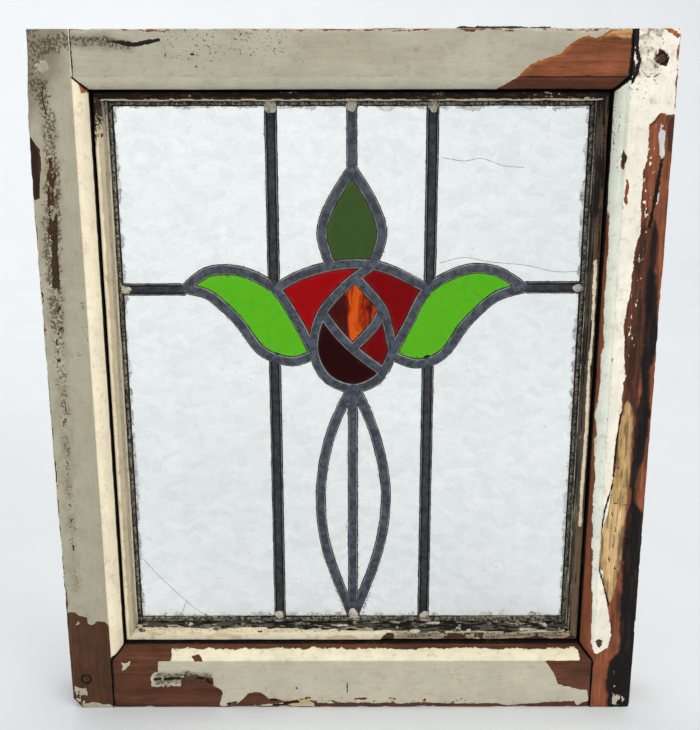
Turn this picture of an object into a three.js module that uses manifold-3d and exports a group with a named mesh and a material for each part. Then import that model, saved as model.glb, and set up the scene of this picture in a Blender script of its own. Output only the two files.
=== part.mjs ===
// A leaded light in a timber window sash: two stiles and two rails, moulded, tenoned and
// pegged together, with mitred glazing beads that hold a panel of glass in lead cames.
//
// Millimetres. X runs across the window, Z up it, and Y through it, with the moulded face
// towards -Y. The origin is the middle of the bottom edge.
import * as THREE from 'three';
import { mergeVertices } from 'three/addons/utils/BufferGeometryUtils.js';
import Module from 'manifold-3d';

const wasm = await Module();
wasm.setup();

// ---------------------------------------------------------------- driving dimensions

const sashWidth = 546;
const sashHeight = 632;
const sashThickness = 60;
const frontY = -sashThickness / 2;

// Flat face of each member, from its outer edge to the arris where its moulding starts.
const faceWidth = { left: 40, right: 39, top: 38, bottom: 51 };

const edgeWear = 2; // outer front edges are worn round
const quirkDepth = 1; // step at the arris
const ovoloWidth = 9;
const ovoloDepth = 14.5;
const ovoloBulge = 2.4;
const ovoloSteps = 5;

// Depths below the front face, and distances in from the arris.
const beadFront = 19.5;
const panelFront = 44;
const panelThickness = 6;
const seatDepth = 50.3; // the lip that the leaded panel rests against
const beadInner = 18.5;
const beadQuirkWidth = 2.2; // shadow gap between the bead's nose and the frame
const beadQuirkDepth = 9;
const lipChamfer = 2;

const joinGap = 0.3; // clearance between pieces that touch

const tenonThickness = 18;
const tenonMargin = { top: 8, bottom: 10 }; // haunch between the tenon and the sash's edge
const tenonShoulder = 3; // below the arris
const pegRadius = 4.5;
const pegSides = 12;
const pegs = {
  peg_top_left: [-257, 601.5],
  peg_top_right: [258.5, 608.5],
  peg_bottom_left: [-258.5, 31],
  peg_bottom_right: [260.5, 18],
};

const strip = { from: 87, to: 168, depth: 12, height: 2.6, slant: 4 };

// Lead: an H-shaped section, the glass held in its two channels.
const flangeThickness = 1.2;
const heartThickness = 1.6;
const wideCame = 10;
const narrowCame = 8.4;
const borderOuter = 9.6; // the border came's outer edge, in from the arris
const borderWidth = 12;
const glassThickness = 3;
const glassEdgeGap = 0.5;

// ---------------------------------------------------------------- helpers

function toManifold(geometry) {
  const bare = geometry.clone();
  bare.deleteAttribute('normal');
  bare.deleteAttribute('uv');
  const merged = mergeVertices(bare, 1e-4);
  return new wasm.Manifold(new wasm.Mesh({
    numProp: 3,
    vertProperties: new Float32Array(merged.attributes.position.array),
    triVerts: new Uint32Array(merged.index.array),
  }));
}

function toGeometry(solid) {
  const mesh = solid.getMesh();
  const geometry = new THREE.BufferGeometry();
  geometry.setAttribute('position', new THREE.BufferAttribute(mesh.vertProperties, 3));
  geometry.setIndex(new THREE.BufferAttribute(mesh.triVerts, 1));
  const faceted = geometry.toNonIndexed();
  faceted.computeVertexNormals();
  return faceted;
}

function shapeFrom(points) {
  return new THREE.Shape(points.map(([x, y]) => new THREE.Vector2(x, y)));
}

// A solid box between two corners.
function boxBetween(low, high) {
  const [x0, y0, z0] = low;
  const [x1, y1, z1] = high;
  const geometry = new THREE.BoxGeometry(x1 - x0, y1 - y0, z1 - z0);
  geometry.translate((x0 + x1) / 2, (y0 + y1) / 2, (z0 + z1) / 2);
  return toManifold(geometry);
}

// A prism through the whole depth of the sash, from its outline in the front view.
function frontPrism(outline, y0 = frontY - 5, y1 = -frontY + 5) {
  const geometry = new THREE.ExtrudeGeometry(shapeFrom(outline), {
    depth: y1 - y0,
    bevelEnabled: false,
  });
  geometry.rotateX(Math.PI / 2);
  geometry.translate(0, y1, 0);
  return toManifold(geometry);
}

// ---------------------------------------------------------------- frame members

// Turns a section drawn in (distance in from the outer edge, depth from the front face)
// into a bar along one side of the sash, longer than it needs to be.
const sideTurn = { left: 0, right: Math.PI, top: Math.PI / 2, bottom: -Math.PI / 2 };
const sideShift = {
  left: [-sashWidth / 2, sashHeight / 2],
  right: [sashWidth / 2, sashHeight / 2],
  top: [0, sashHeight],
  bottom: [0, 0],
};

function sideBar(side, section) {
  const length = sashHeight + sashWidth;
  const geometry = new THREE.ExtrudeGeometry(shapeFrom(section), {
    depth: length,
    bevelEnabled: false,
  });
  geometry.translate(0, 0, -length / 2);
  geometry.rotateY(sideTurn[side]);
  const [x, z] = sideShift[side];
  geometry.translate(x, frontY, z);
  return toManifold(geometry);
}

// The rectangle that lies a given distance inside the arrises, as [x0, z0, x1, z1].
function insideArris(distance) {
  return [
    -sashWidth / 2 + faceWidth.left + distance,
    faceWidth.bottom + distance,
    sashWidth / 2 - faceWidth.right - distance,
    sashHeight - faceWidth.top - distance,
  ];
}

// Outline, in the front view, of one side's share of the band between two distances from
// the arrises, mitred at both corners with half a gap taken off each mitre.
function mitredOutline(side, outer, inner) {
  const [ox0, oz0, ox1, oz1] = insideArris(outer);
  const [ix0, iz0, ix1, iz1] = insideArris(inner);
  const slip = joinGap / Math.SQRT2;
  return {
    left: [[ox0, oz0 + slip], [ix0, iz0 + slip], [ix0, iz1 - slip], [ox0, oz1 - slip]],
    right: [[ox1, oz0 + slip], [ox1, oz1 - slip], [ix1, iz1 - slip], [ix1, iz0 + slip]],
    top: [[ox0 + slip, oz1], [ix0 + slip, iz1], [ix1 - slip, iz1], [ox1 - slip, oz1]],
    bottom: [[ox0 + slip, oz0], [ox1 - slip, oz0], [ix1 - slip, iz0], [ix0 + slip, iz0]],
  }[side];
}

function memberSection(side) {
  const arris = faceWidth[side];
  const curve = new THREE.QuadraticBezierCurve(
    new THREE.Vector2(arris, quirkDepth),
    new THREE.Vector2(
      arris + ovoloWidth / 2 + ovoloBulge,
      (quirkDepth + ovoloDepth) / 2 - ovoloBulge,
    ),
    new THREE.Vector2(arris + ovoloWidth, ovoloDepth),
  );
  return [
    [edgeWear, 0],
    [arris, 0],
    ...curve.getPoints(ovoloSteps).map((point) => [point.x, point.y]),
    [arris + ovoloWidth, seatDepth],
    [arris + beadInner, seatDepth],
    [arris + beadInner, sashThickness - lipChamfer],
    [arris + beadInner - lipChamfer, sashThickness],
    [0, sashThickness],
    [0, edgeWear],
  ];
}

// The stiles keep the whole height; their mouldings are mitred with the rails'.
function stileOutline(side) {
  const sign = side === 'left' ? -1 : 1;
  const outerX = sign * (sashWidth / 2 + 1);
  const arrisX = sign * (sashWidth / 2 - faceWidth[side]);
  const lip = mitredOutline(side, 0, beadInner + 1);
  const moulded = side === 'left' ? lip : [lip[0], lip[3], lip[2], lip[1]];
  const outline = [[outerX, -1], [arrisX, -1], ...moulded, [arrisX, sashHeight + 1],
    [outerX, sashHeight + 1]];
  return side === 'left' ? outline : outline.reverse();
}

function railOutline(side) {
  const [arrisX0, arrisZ0, arrisX1, arrisZ1] = insideArris(0);
  const [x0, x1] = [arrisX0 + joinGap, arrisX1 - joinGap];
  const mitred = mitredOutline(side, 0, beadInner + 1);
  const rise = joinGap - joinGap / Math.SQRT2; // where the mitre leaves the shoulder
  if (side === 'top') {
    const foot = arrisZ1 - rise;
    return [[x0, sashHeight + 1], [x0, foot], mitred[1], mitred[2], [x1, foot],
      [x1, sashHeight + 1]];
  }
  const foot = arrisZ0 + rise;
  return [[x0, -1], [x1, -1], [x1, foot], mitred[2], mitred[3], [x0, foot]];
}

// Height range of a rail's tenon.
function tenonRange(side) {
  if (side === 'top') {
    return [sashHeight - faceWidth.top + tenonShoulder, sashHeight - tenonMargin.top];
  }
  return [tenonMargin.bottom, faceWidth.bottom - tenonShoulder];
}

function tenonBox(side, fromX, toX, clearance) {
  const [z0, z1] = tenonRange(side);
  const half = tenonThickness / 2 + clearance;
  return boxBetween([fromX, -half, z0 - clearance], [toX, half, z1 + clearance]);
}

function pegHole(x, z) {
  const geometry = new THREE.CylinderGeometry(
    pegRadius + joinGap, pegRadius + joinGap, sashThickness + 4, pegSides,
  );
  geometry.translate(x, 0, z);
  return toManifold(geometry);
}

const pegHoles = Object.values(pegs).map(([x, z]) => pegHole(x, z));

function stileSolid(side) {
  const sign = side === 'left' ? -1 : 1;
  const outer = sign * (sashWidth / 2 + 1);
  const inner = sign * (sashWidth / 2 - faceWidth[side] - 1);
  let solid = sideBar(side, memberSection(side)).intersect(frontPrism(stileOutline(side)));
  solid = solid.intersect(boxBetween(
    [-sashWidth, frontY - 1, 0], [sashWidth, -frontY + 1, sashHeight],
  ));
  for (const rail of ['top', 'bottom']) {
    const [x0, x1] = [Math.min(outer, inner), Math.max(outer, inner)];
    solid = solid.subtract(tenonBox(rail, x0, x1, joinGap));
  }
  return pegHoles.reduce((part, hole) => part.subtract(hole), solid);
}

function railSolid(side) {
  const section = memberSection(side);
  const body = sideBar(side, section).intersect(frontPrism(railOutline(side)));
  const reach = sashWidth / 2 - joinGap;
  const tenon = tenonBox(side, -reach, reach, 0);
  return pegHoles.reduce((part, hole) => part.subtract(hole), body.add(tenon));
}

// The bead's nose stands clear of the frame, which leaves the dark line between them.
function beadSolid(side) {
  const arris = faceWidth[side];
  const outer = arris + ovoloWidth + joinGap;
  const inner = arris + beadInner;
  const back = panelFront - joinGap;
  const section = [
    [outer + beadQuirkWidth, beadFront],
    [inner - 1, beadFront],
    [inner, beadFront + 1],
    [inner, back],
    [outer, back],
    [outer, beadFront + beadQuirkDepth],
    [outer + beadQuirkWidth, beadFront + beadQuirkDepth],
  ];
  const outline = mitredOutline(side, ovoloWidth, beadInner + 1);
  return sideBar(side, section).intersect(frontPrism(outline));
}

// ---------------------------------------------------------------- leaded panel

const panelY = frontY + panelFront + panelThickness / 2;
const halfPanel = panelThickness / 2;
const channel = halfPanel - flangeThickness;

// U-shaped border came: heart outside, channel towards the glass.
function borderSection(side) {
  const outer = faceWidth[side] + borderOuter;
  const inner = outer + borderWidth;
  const heart = outer + heartThickness;
  return [
    [outer, panelFront],
    [inner, panelFront],
    [inner, panelFront + flangeThickness],
    [heart, panelFront + flangeThickness],
    [heart, panelFront + panelThickness - flangeThickness],
    [inner, panelFront + panelThickness - flangeThickness],
    [inner, panelFront + panelThickness],
    [outer, panelFront + panelThickness],
  ];
}

function borderSolid(side) {
  const outline = mitredOutline(side, borderOuter - 1, borderOuter + borderWidth + 1);
  return sideBar(side, borderSection(side)).intersect(frontPrism(outline));
}

// Section of a came in (depth, width); a block of the same width clears the way for it.
function cameSection(width) {
  const half = width / 2;
  const heart = heartThickness / 2;
  return [
    [-halfPanel, -half], [-channel, -half], [-channel, -heart], [channel, -heart],
    [channel, -half], [halfPanel, -half], [halfPanel, half], [channel, half],
    [channel, heart], [-channel, heart], [-channel, half], [-halfPanel, half],
  ];
}

function blockSection(width) {
  const half = width / 2;
  const deep = halfPanel + 1;
  return [[-deep, -half], [deep, -half], [deep, half], [-deep, half]];
}

// Sweeps a (depth, width) section along a path in the plane of the panel. The section is
// symmetrical, so only the width direction has to follow the path.
function sweep(section, path) {
  const rings = path.map((point, index) => {
    const before = path[Math.max(index - 1, 0)];
    const after = path[Math.min(index + 1, path.length - 1)];
    const inward = point.clone().sub(before).normalize();
    const outward = after.clone().sub(point).normalize();
    const tangent = inward.clone().add(outward).normalize();
    const shorten = Math.max(tangent.dot(index ? inward : outward), 0.5);
    const normal = new THREE.Vector2(-tangent.y, tangent.x).divideScalar(shorten);
    return section.map(([depth, width]) => [
      point.x + normal.x * width, panelY + depth, point.y + normal.y * width,
    ]);
  });
  const count = section.length;
  const caps = THREE.ShapeUtils.triangulateShape(
    section.map(([depth, width]) => new THREE.Vector2(depth, width)), [],
  );
  const faces = [];
  for (let ring = 0; ring < rings.length - 1; ring += 1) {
    for (let corner = 0; corner < count; corner += 1) {
      const next = (corner + 1) % count;
      const a = ring * count + corner;
      const b = ring * count + next;
      faces.push(a, b, a + count, b, b + count, a + count);
    }
  }
  const last = (rings.length - 1) * count;
  for (const [a, b, c] of caps) {
    faces.push(a, c, b, last + a, last + b, last + c);
  }
  const geometry = new THREE.BufferGeometry();
  geometry.setAttribute('position', new THREE.Float32BufferAttribute(rings.flat(2), 3));
  geometry.setIndex(faces);
  return toManifold(geometry);
}

// Edges of the clear opening of the border came, in the front view.
const [sightX0, sightZ0, sightX1, sightZ1] = insideArris(borderOuter + heartThickness);

// Each came: its width, the points its middle line passes through (x, z), how many
// steps its curve has, and the cames that it is cut to fit against.
const crossHeight = { left: 407.7, right: 409.3 };
const upright = { topLeft: -71.3, topRight: 73, lowLeft: -71.7, lowRight: 72.6 };
const flowerX = 1.6;

const cames = {
  came_leaf_left_upper: {
    width: narrowCame, steps: 13, cutBy: ['came_rose_outline'],
    points: [[-154, 408.3], [-131, 424.3], [-99.6, 423.9], [-70, 407.5], [-50, 377], [-34, 345]],
  },
  came_leaf_right_upper: {
    width: narrowCame, steps: 13, cutBy: ['came_rose_outline'],
    points: [[160.5, 408.8], [134, 424.6], [104, 425.4], [71, 407], [53, 374], [37, 343]],
  },
  came_rose_outline: {
    width: narrowCame, steps: 22, cutBy: ['came_petal_arch'],
    points: [[19, 429.5], [-5.6, 410.6], [-27.6, 384], [-35.2, 351], [-23.7, 323.7],
      [flowerX, 312.6], [26, 322.5], [38, 345], [38.4, 356]],
  },
  came_petal_arch: {
    width: narrowCame, steps: 11, cutBy: ['came_leaf_left_upper', 'came_leaf_right_upper'],
    points: [[-71, 407.5], [-43.5, 422.2], [-5, 431], [31.4, 427.5], [72, 407.5]],
  },
  came_rose_right: {
    width: narrowCame, steps: 8, cutBy: ['came_rose_outline', 'came_leaf_right_upper'],
    points: [[5, 418], [16.6, 405.3], [30.1, 387.3], [38.4, 356]],
  },
  came_rose_inner_long: {
    width: narrowCame, steps: 8, cutBy: ['came_rose_outline'],
    points: [[-27, 386], [-12.7, 366.3], [4.3, 348.9], [31.5, 328]],
  },
  came_rose_inner_short: {
    width: narrowCame, steps: 5, cutBy: ['came_rose_right', 'came_rose_inner_long'],
    points: [[30, 388], [21.5, 372.5], [1.5, 351]],
  },
  came_leaf_left_lower: {
    width: narrowCame, steps: 13,
    cutBy: ['came_leaf_left_upper', 'came_rose_outline'],
    points: [[-154, 408.3], [-131.7, 402.2], [-106, 378.5], [-84, 349], [-57, 339], [-34.5, 345.5]],
  },
  came_leaf_right_lower: {
    width: narrowCame, steps: 13,
    cutBy: ['came_leaf_right_upper', 'came_rose_outline'],
    points: [[160.5, 408.8], [134, 400.2], [108, 375.6], [87, 346], [63, 336.6], [37.5, 345]],
  },
  came_cross_left: {
    width: wideCame, steps: 1, cutBy: ['came_leaf_left_upper', 'came_leaf_left_lower'],
    points: [[sightX0 - 1, crossHeight.left], [-152, crossHeight.left]],
  },
  came_cross_right: {
    width: wideCame, steps: 1, cutBy: ['came_leaf_right_upper', 'came_leaf_right_lower'],
    points: [[158.5, crossHeight.right], [sightX1 + 1, crossHeight.right]],
  },
  came_top_left: {
    width: wideCame, steps: 1, cutBy: ['came_leaf_left_upper', 'came_petal_arch'],
    points: [[upright.topLeft, 409], [upright.topLeft, sightZ1 + 1]],
  },
  came_top_right: {
    width: wideCame, steps: 1, cutBy: ['came_leaf_right_upper', 'came_petal_arch'],
    points: [[upright.topRight, 409], [upright.topRight, sightZ1 + 1]],
  },
  came_low_left: {
    width: wideCame, steps: 1, cutBy: ['came_leaf_left_lower'],
    points: [[upright.lowLeft, sightZ0 - 1], [upright.lowLeft, 342.5]],
  },
  came_low_right: {
    width: wideCame, steps: 1, cutBy: ['came_leaf_right_lower'],
    points: [[upright.lowRight, sightZ0 - 1], [upright.lowRight, 338.5]],
  },
  came_bud_left: {
    width: narrowCame, steps: 9, cutBy: ['came_petal_arch'],
    points: [[1, 517], [-17.8, 486.8], [-26.6, 459], [-18.5, 428]],
  },
  came_bud_right: {
    width: narrowCame, steps: 9, cutBy: ['came_petal_arch', 'came_bud_left'],
    points: [[1, 517], [18.9, 488.6], [28.4, 459], [19.5, 428]],
  },
  came_top_middle: {
    width: narrowCame, steps: 1, cutBy: ['came_bud_left', 'came_bud_right'],
    points: [[0.9, 514], [0.9, sightZ1 + 1]],
  },
  came_stem_left: {
    width: narrowCame, steps: 12, cutBy: ['came_rose_outline'],
    points: [[-0.5, 312.8], [-20.6, 263], [-29.6, 206], [-23.5, 146], [1.6, sightZ0 - 1]],
  },
  came_stem_right: {
    width: narrowCame, steps: 12, cutBy: ['came_rose_outline', 'came_stem_left'],
    points: [[5, 312.8], [24.2, 263], [34, 206], [27, 146], [2.4, sightZ0 - 1]],
  },
  came_low_middle: {
    width: narrowCame, steps: 1, cutBy: ['came_stem_left', 'came_stem_right'],
    points: [[1.8, sightZ0 - 1], [1.8, 313]],
  },
};

function camePath({ points, steps }) {
  const curve = new THREE.SplineCurve(points.map(([x, z]) => new THREE.Vector2(x, z)));
  return curve.getSpacedPoints(steps);
}

// The largest of the separate bodies that cutting leaves.
function largestBody(solid) {
  const bodies = solid.decompose();
  return bodies.reduce((best, body) => (body.volume() > best.volume() ? body : best));
}

const sides = ['left', 'right', 'top', 'bottom'];
const innerEdge = insideArris(borderOuter + borderWidth + joinGap);
const clearOfBorder = boxBetween(
  [innerEdge[0], frontY, innerEdge[1]], [innerEdge[2], -frontY, innerEdge[3]],
);

function cameSolid(came) {
  let solid = sweep(cameSection(came.width), camePath(came)).intersect(clearOfBorder);
  for (const name of came.cutBy) {
    const other = cames[name];
    const block = sweep(blockSection(other.width + 2 * joinGap), camePath(other));
    solid = solid.subtract(block);
  }
  return largestBody(solid);
}

// ---------------------------------------------------------------- glass

// One sheet that fills the border, cut along every came's heart, falls into the panes.
// Each pane is known by a point that lies on it.
const paneAt = {
  pane_clear_top_left: [-140, 500],
  pane_clear_top_inner_left: [-45, 500],
  pane_clear_top_inner_right: [47, 500],
  pane_clear_top_right: [142, 500],
  pane_clear_low_left: [-140, 230],
  pane_clear_low_inner_left: [-50, 230],
  pane_clear_low_inner_right: [53, 230],
  pane_clear_low_right: [142, 230],
  pane_clear_stem_left: [-14, 205],
  pane_clear_stem_right: [18, 205],
  pane_green_bud: [1, 465],
  pane_green_leaf_left: [-90, 390],
  pane_green_leaf_right: [92, 390],
  pane_red_petal_left: [-40, 400],
  pane_red_petal_right: [42, 400],
  pane_amber_heart: [3, 385],
  pane_maroon_petal: [-17, 345],
  pane_red_rose: [25, 355],
};

function glassPanes() {
  const [x0, z0, x1, z1] = insideArris(borderOuter + heartThickness + glassEdgeGap);
  const half = glassThickness / 2;
  let sheet = boxBetween([x0, panelY - half, z0], [x1, panelY + half, z1]);
  for (const came of Object.values(cames)) {
    const wall = blockSection(heartThickness + 2 * glassEdgeGap);
    sheet = sheet.subtract(sweep(wall, camePath(came)));
  }
  const bodies = sheet.decompose();
  return Object.entries(paneAt).map(([name, [x, z]]) => {
    const probe = boxBetween([x - 1, panelY - 1, z - 1], [x + 1, panelY + 1, z + 1]);
    const solid = bodies.find((body) => body.intersect(probe).volume() > 1);
    return [name, solid];
  });
}

// ---------------------------------------------------------------- materials

function finish(name, color, roughness, metalness, extra = {}) {
  return new THREE.MeshStandardMaterial({ name, color, roughness, metalness, ...extra });
}

const paintedTimber = finish('painted_timber', 0xb0aa94, 0.6, 0);
const paintedBead = finish('painted_bead', 0xf0e1c3, 0.55, 0);
const pegWood = finish('peg_wood', 0x6a3c26, 0.75, 0);
const blackStrip = finish('black_strip', 0x1b1a19, 0.8, 0);
const lead = finish('lead', 0x555c66, 0.5, 0.7);

function glass(name, color, opacity = 0.9) {
  return finish(name, color, 0.1, 0, { transparent: true, opacity });
}

const glassFor = {
  pane_clear: glass('clear_glass', 0xf2f4f3, 0.35),
  pane_green_bud: glass('dark_green_glass', 0x42592c),
  pane_green_leaf: glass('bright_green_glass', 0x55bb1f),
  pane_red_petal_left: glass('red_glass', 0x960a0f),
  pane_red_petal_right: glass('deep_red_glass', 0x78000a),
  pane_amber_heart: glass('amber_glass', 0xc2561a),
  pane_maroon_petal: glass('maroon_glass', 0x2e0008),
  pane_red_rose: glass('dark_red_glass', 0x6f0008),
};

function paneMaterial(name) {
  return glassFor[Object.keys(glassFor).find((start) => name.startsWith(start))];
}

// ---------------------------------------------------------------- assembly

function named(name, solid, material) {
  const mesh = new THREE.Mesh(toGeometry(solid), material);
  mesh.name = name;
  return mesh;
}

function timberFrame() {
  const group = new THREE.Group();
  group.add(named('stile_left', stileSolid('left'), paintedTimber));
  group.add(named('stile_right', stileSolid('right'), paintedTimber));
  group.add(named('rail_top', railSolid('top'), paintedTimber));
  group.add(named('rail_bottom', railSolid('bottom'), paintedTimber));
  for (const [name, [x, z]] of Object.entries(pegs)) {
    const shaft = new THREE.CylinderGeometry(pegRadius, pegRadius, sashThickness, pegSides);
    const peg = new THREE.Mesh(shaft, pegWood);
    peg.name = name;
    peg.position.set(x, 0, z);
    group.add(peg);
  }
  for (const side of sides) {
    group.add(named(`bead_${side}`, beadSolid(side), paintedBead));
  }
  return group;
}

// What is left of a black strip, its ends broken off at a slant.
function topEdgeStrip() {
  const { from, to, depth, height, slant } = strip;
  const outline = shapeFrom([[from, 0], [to, 0], [to - slant, depth], [from + slant, depth]]);
  const geometry = new THREE.ExtrudeGeometry(outline, { depth: height, bevelEnabled: false });
  const mesh = new THREE.Mesh(geometry, blackStrip);
  mesh.name = 'top_edge_strip';
  mesh.position.set(0, frontY + edgeWear, sashHeight + joinGap / 2);
  return mesh;
}

function leadedPanel() {
  const group = new THREE.Group();
  for (const side of sides) {
    group.add(named(`came_border_${side}`, borderSolid(side), lead));
  }
  for (const [name, came] of Object.entries(cames)) {
    group.add(named(name, cameSolid(came), lead));
  }
  for (const [name, solid] of glassPanes()) {
    group.add(named(name, solid, paneMaterial(name)));
  }
  return group;
}

const group = new THREE.Group();
group.add(timberFrame(), topEdgeStrip(), leadedPanel());

export default group;
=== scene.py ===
import itertools
import math

import bmesh
import bpy
import numpy as np
from mathutils import Matrix, Vector
from mathutils.geometry import delaunay_2d_cdt


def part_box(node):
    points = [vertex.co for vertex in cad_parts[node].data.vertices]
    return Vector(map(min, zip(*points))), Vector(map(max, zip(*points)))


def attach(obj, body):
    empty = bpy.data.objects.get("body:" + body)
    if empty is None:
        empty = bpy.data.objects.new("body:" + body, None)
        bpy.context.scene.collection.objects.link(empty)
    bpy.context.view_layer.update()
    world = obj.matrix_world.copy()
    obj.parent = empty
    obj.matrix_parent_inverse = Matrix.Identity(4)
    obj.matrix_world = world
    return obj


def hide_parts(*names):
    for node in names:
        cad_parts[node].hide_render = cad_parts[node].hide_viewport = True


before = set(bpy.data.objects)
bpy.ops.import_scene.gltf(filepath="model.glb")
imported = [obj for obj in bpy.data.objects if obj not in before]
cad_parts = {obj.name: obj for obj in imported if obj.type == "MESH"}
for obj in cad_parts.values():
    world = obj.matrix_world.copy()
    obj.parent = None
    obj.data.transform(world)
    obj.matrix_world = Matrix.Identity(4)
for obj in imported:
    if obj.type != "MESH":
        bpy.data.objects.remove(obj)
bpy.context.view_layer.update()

MM = 0.001

# ---------------------------------------------------------------- sizes of the sash

sash_low, sash_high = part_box("stile_left")
_, far_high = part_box("stile_right")
SASH_LEFT = sash_low.x / MM
SASH_RIGHT = far_high.x / MM
SASH_HEIGHT = sash_high.z / MM
FRONT_Y = sash_low.y / MM
THICK = (sash_high.y - sash_low.y) / MM

# Widths, depths and gaps of the joinery and the lead, as the solids have them.
FACE = {"left": 40.0, "right": 39.0, "top": 38.0, "bottom": 51.0}
MOULDING_WIDE = 9.0
MOULDING_DEEP = 14.5
MOULDING_BULGE = 2.4
QUIRK = 1.0
SEAT_DEEP = 50.3
SIGHT = 18.5
BEAD_FRONT = 19.5
BEAD_GAP = 2.2
BEAD_GAP_DEEP = 9.0
BEAD_BACK = 43.7
PANEL_Y = 17.0
WIDE_CAME = 10.0
NARROW_CAME = 8.4
FLANGE = 1.2
HEART = 1.6
PANEL_THICK = 6.0
PEG_RADIUS = 4.5
SLIP = 0.2

ARRIS_LEFT = SASH_LEFT + FACE["left"]
ARRIS_RIGHT = SASH_RIGHT - FACE["right"]
ARRIS_TOP = SASH_HEIGHT - FACE["top"]
ARRIS_BOTTOM = FACE["bottom"]


# ---------------------------------------------------------------- patterns in numbers

def smooth(low, high, value):
    part = np.clip((np.asarray(value, float) - low) / (high - low), 0, 1)
    return part * part * (3 - 2 * part)


def rough(points, cell, seed, octaves=3):
    """Smooth noise from about -1 to 1 at points in millimetres; cell is one size or three."""
    points = np.asarray(points, float)
    cell = np.broadcast_to(np.asarray(cell, float), (3,)).copy()
    table_maker = np.random.default_rng(seed)
    total, weight, weights = np.zeros(points.shape[:-1]), 1.0, 0.0
    for _ in range(octaves):
        table = table_maker.random(4096) * 2 - 1
        scaled = points / cell
        base = np.floor(scaled).astype(np.int64)
        part = scaled - base
        part = part * part * (3 - 2 * part)
        value = np.zeros(points.shape[:-1])
        for corner in itertools.product((0, 1), repeat=3):
            index = base + np.array(corner)
            key = (index[..., 0] * 73856093 ^ index[..., 1] * 19349663
                   ^ index[..., 2] * 83492791) & 4095
            share = np.ones(points.shape[:-1])
            for axis, high in enumerate(corner):
                share = share * (part[..., axis] if high else 1 - part[..., axis])
            value += table[key] * share
        total += value * weight
        weights += weight
        weight *= 0.5
        cell /= 2
    return total / weights * 1.6


def off_piece(x, z, a, b):
    """Distance in millimetres from the straight piece between two points."""
    (ax, az), (bx, bz) = a, b
    ex, ez = bx - ax, bz - az
    along = np.clip(((x - ax) * ex + (z - az) * ez) / (ex * ex + ez * ez + 1e-9), 0, 1)
    return np.hypot(x - ax - along * ex, z - az - along * ez)


def within(x, z, outline):
    """How far inside an outline a place is, in millimetres; negative outside."""
    corners = np.array(outline, float)
    nearest = np.full(np.shape(x), 1e9)
    inside = np.zeros(np.shape(x), bool)
    for (ax, az), (bx, bz) in zip(corners, np.roll(corners, -1, 0)):
        nearest = np.minimum(nearest, off_piece(x, z, (ax, az), (bx, bz)))
        if az != bz:
            crosses = (az > z) != (bz > z)
            inside ^= crosses & (x < (bx - ax) * (z - az) / (bz - az) + ax)
    return np.where(inside, nearest, -nearest)


def off_line(x, z, line):
    """Distance in millimetres from an open line of points."""
    nearest = np.full(np.shape(x), 1e9)
    for a, b in zip(line, line[1:]):
        nearest = np.minimum(nearest, off_piece(x, z, a, b))
    return nearest


def shade(red, green, blue):
    """A colour on a 0 to 255 scale, as the linear values a shader takes."""
    values = np.array([red, green, blue], float) / 255
    linear = np.where(values <= 0.04045, values / 12.92, ((values + 0.055) / 1.055) ** 2.4)
    return tuple(float(v) for v in linear)


def solid(red, green, blue):
    """The same colour with the alpha that a node's socket wants."""
    return (*shade(red, green, blue), 1)


def blend_colour(base, over, share):
    share = np.asarray(share)[..., None]
    return base * (1 - share) + np.asarray(over) * share


# ---------------------------------------------------------------- meshes

def new_object(name, data):
    thing = bpy.data.objects.new(name, data)
    bpy.context.scene.collection.objects.link(thing)
    return thing


def make_piece(name, vertices, faces, node_names=(), finish=None):
    """A piece in millimetres, riding on the window and standing for the solids it covers."""
    mesh = bpy.data.meshes.new(name)
    mesh.from_pydata((np.asarray(vertices, float) * MM).tolist(), [], faces)
    mesh.validate()
    mesh.update()
    mesh.set_sharp_from_angle(angle=math.radians(48))
    piece = new_object(name, mesh)
    settle(piece, node_names, finish)
    return piece


def settle(piece, node_names=(), finish=None):
    if finish:
        piece.data.materials.clear()
        piece.data.materials.append(finish)
    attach(piece, "root")
    if node_names:
        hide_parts(*node_names)


def keep_value(piece, name, values):
    layer = piece.data.attributes.new(name, "FLOAT", "POINT")
    layer.data.foreach_set("value", np.asarray(values, np.float32).ravel())


def keep_colour(piece, name, colours):
    layer = piece.data.attributes.new(name, "FLOAT_COLOR", "POINT")
    full = np.ones((len(colours), 4), np.float32)
    full[:, :3] = colours
    layer.data.foreach_set("color", full.ravel())


def spaced(start, end, step):
    return np.linspace(start, end, max(int(round(abs(end - start) / step)), 1) + 1)


def section_line(*parts):
    """Joins straight or curved runs of (in, deep) points into one closed section."""
    points = []
    for part in parts:
        for point in part:
            if not points or math.dist(points[-1], point) > 1e-6:
                points.append(tuple(float(v) for v in point))
    if math.dist(points[0], points[-1]) < 1e-6:
        points.pop()
    return np.array(points)


def run(a, b, step):
    count = max(int(round(math.dist(a, b) / step)), 1)
    return [tuple(np.array(a) + (np.array(b) - np.array(a)) * i / count) for i in range(count + 1)]


def bend(a, handle, b, count):
    return [tuple((1 - t) ** 2 * np.array(a) + 2 * t * (1 - t) * np.array(handle)
                  + t * t * np.array(b)) for t in np.linspace(0, 1, count + 1)]


def placed(side, inward, along, deep):
    """Window position of a place on one side's bar."""
    y = FRONT_Y + deep
    if side == "left":
        return np.stack([SASH_LEFT + inward, y, along], -1)
    if side == "right":
        return np.stack([SASH_RIGHT - inward, y, along], -1)
    if side == "top":
        return np.stack([along, y, SASH_HEIGHT - inward], -1)
    return np.stack([along, y, inward + 0 * along], -1)


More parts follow.
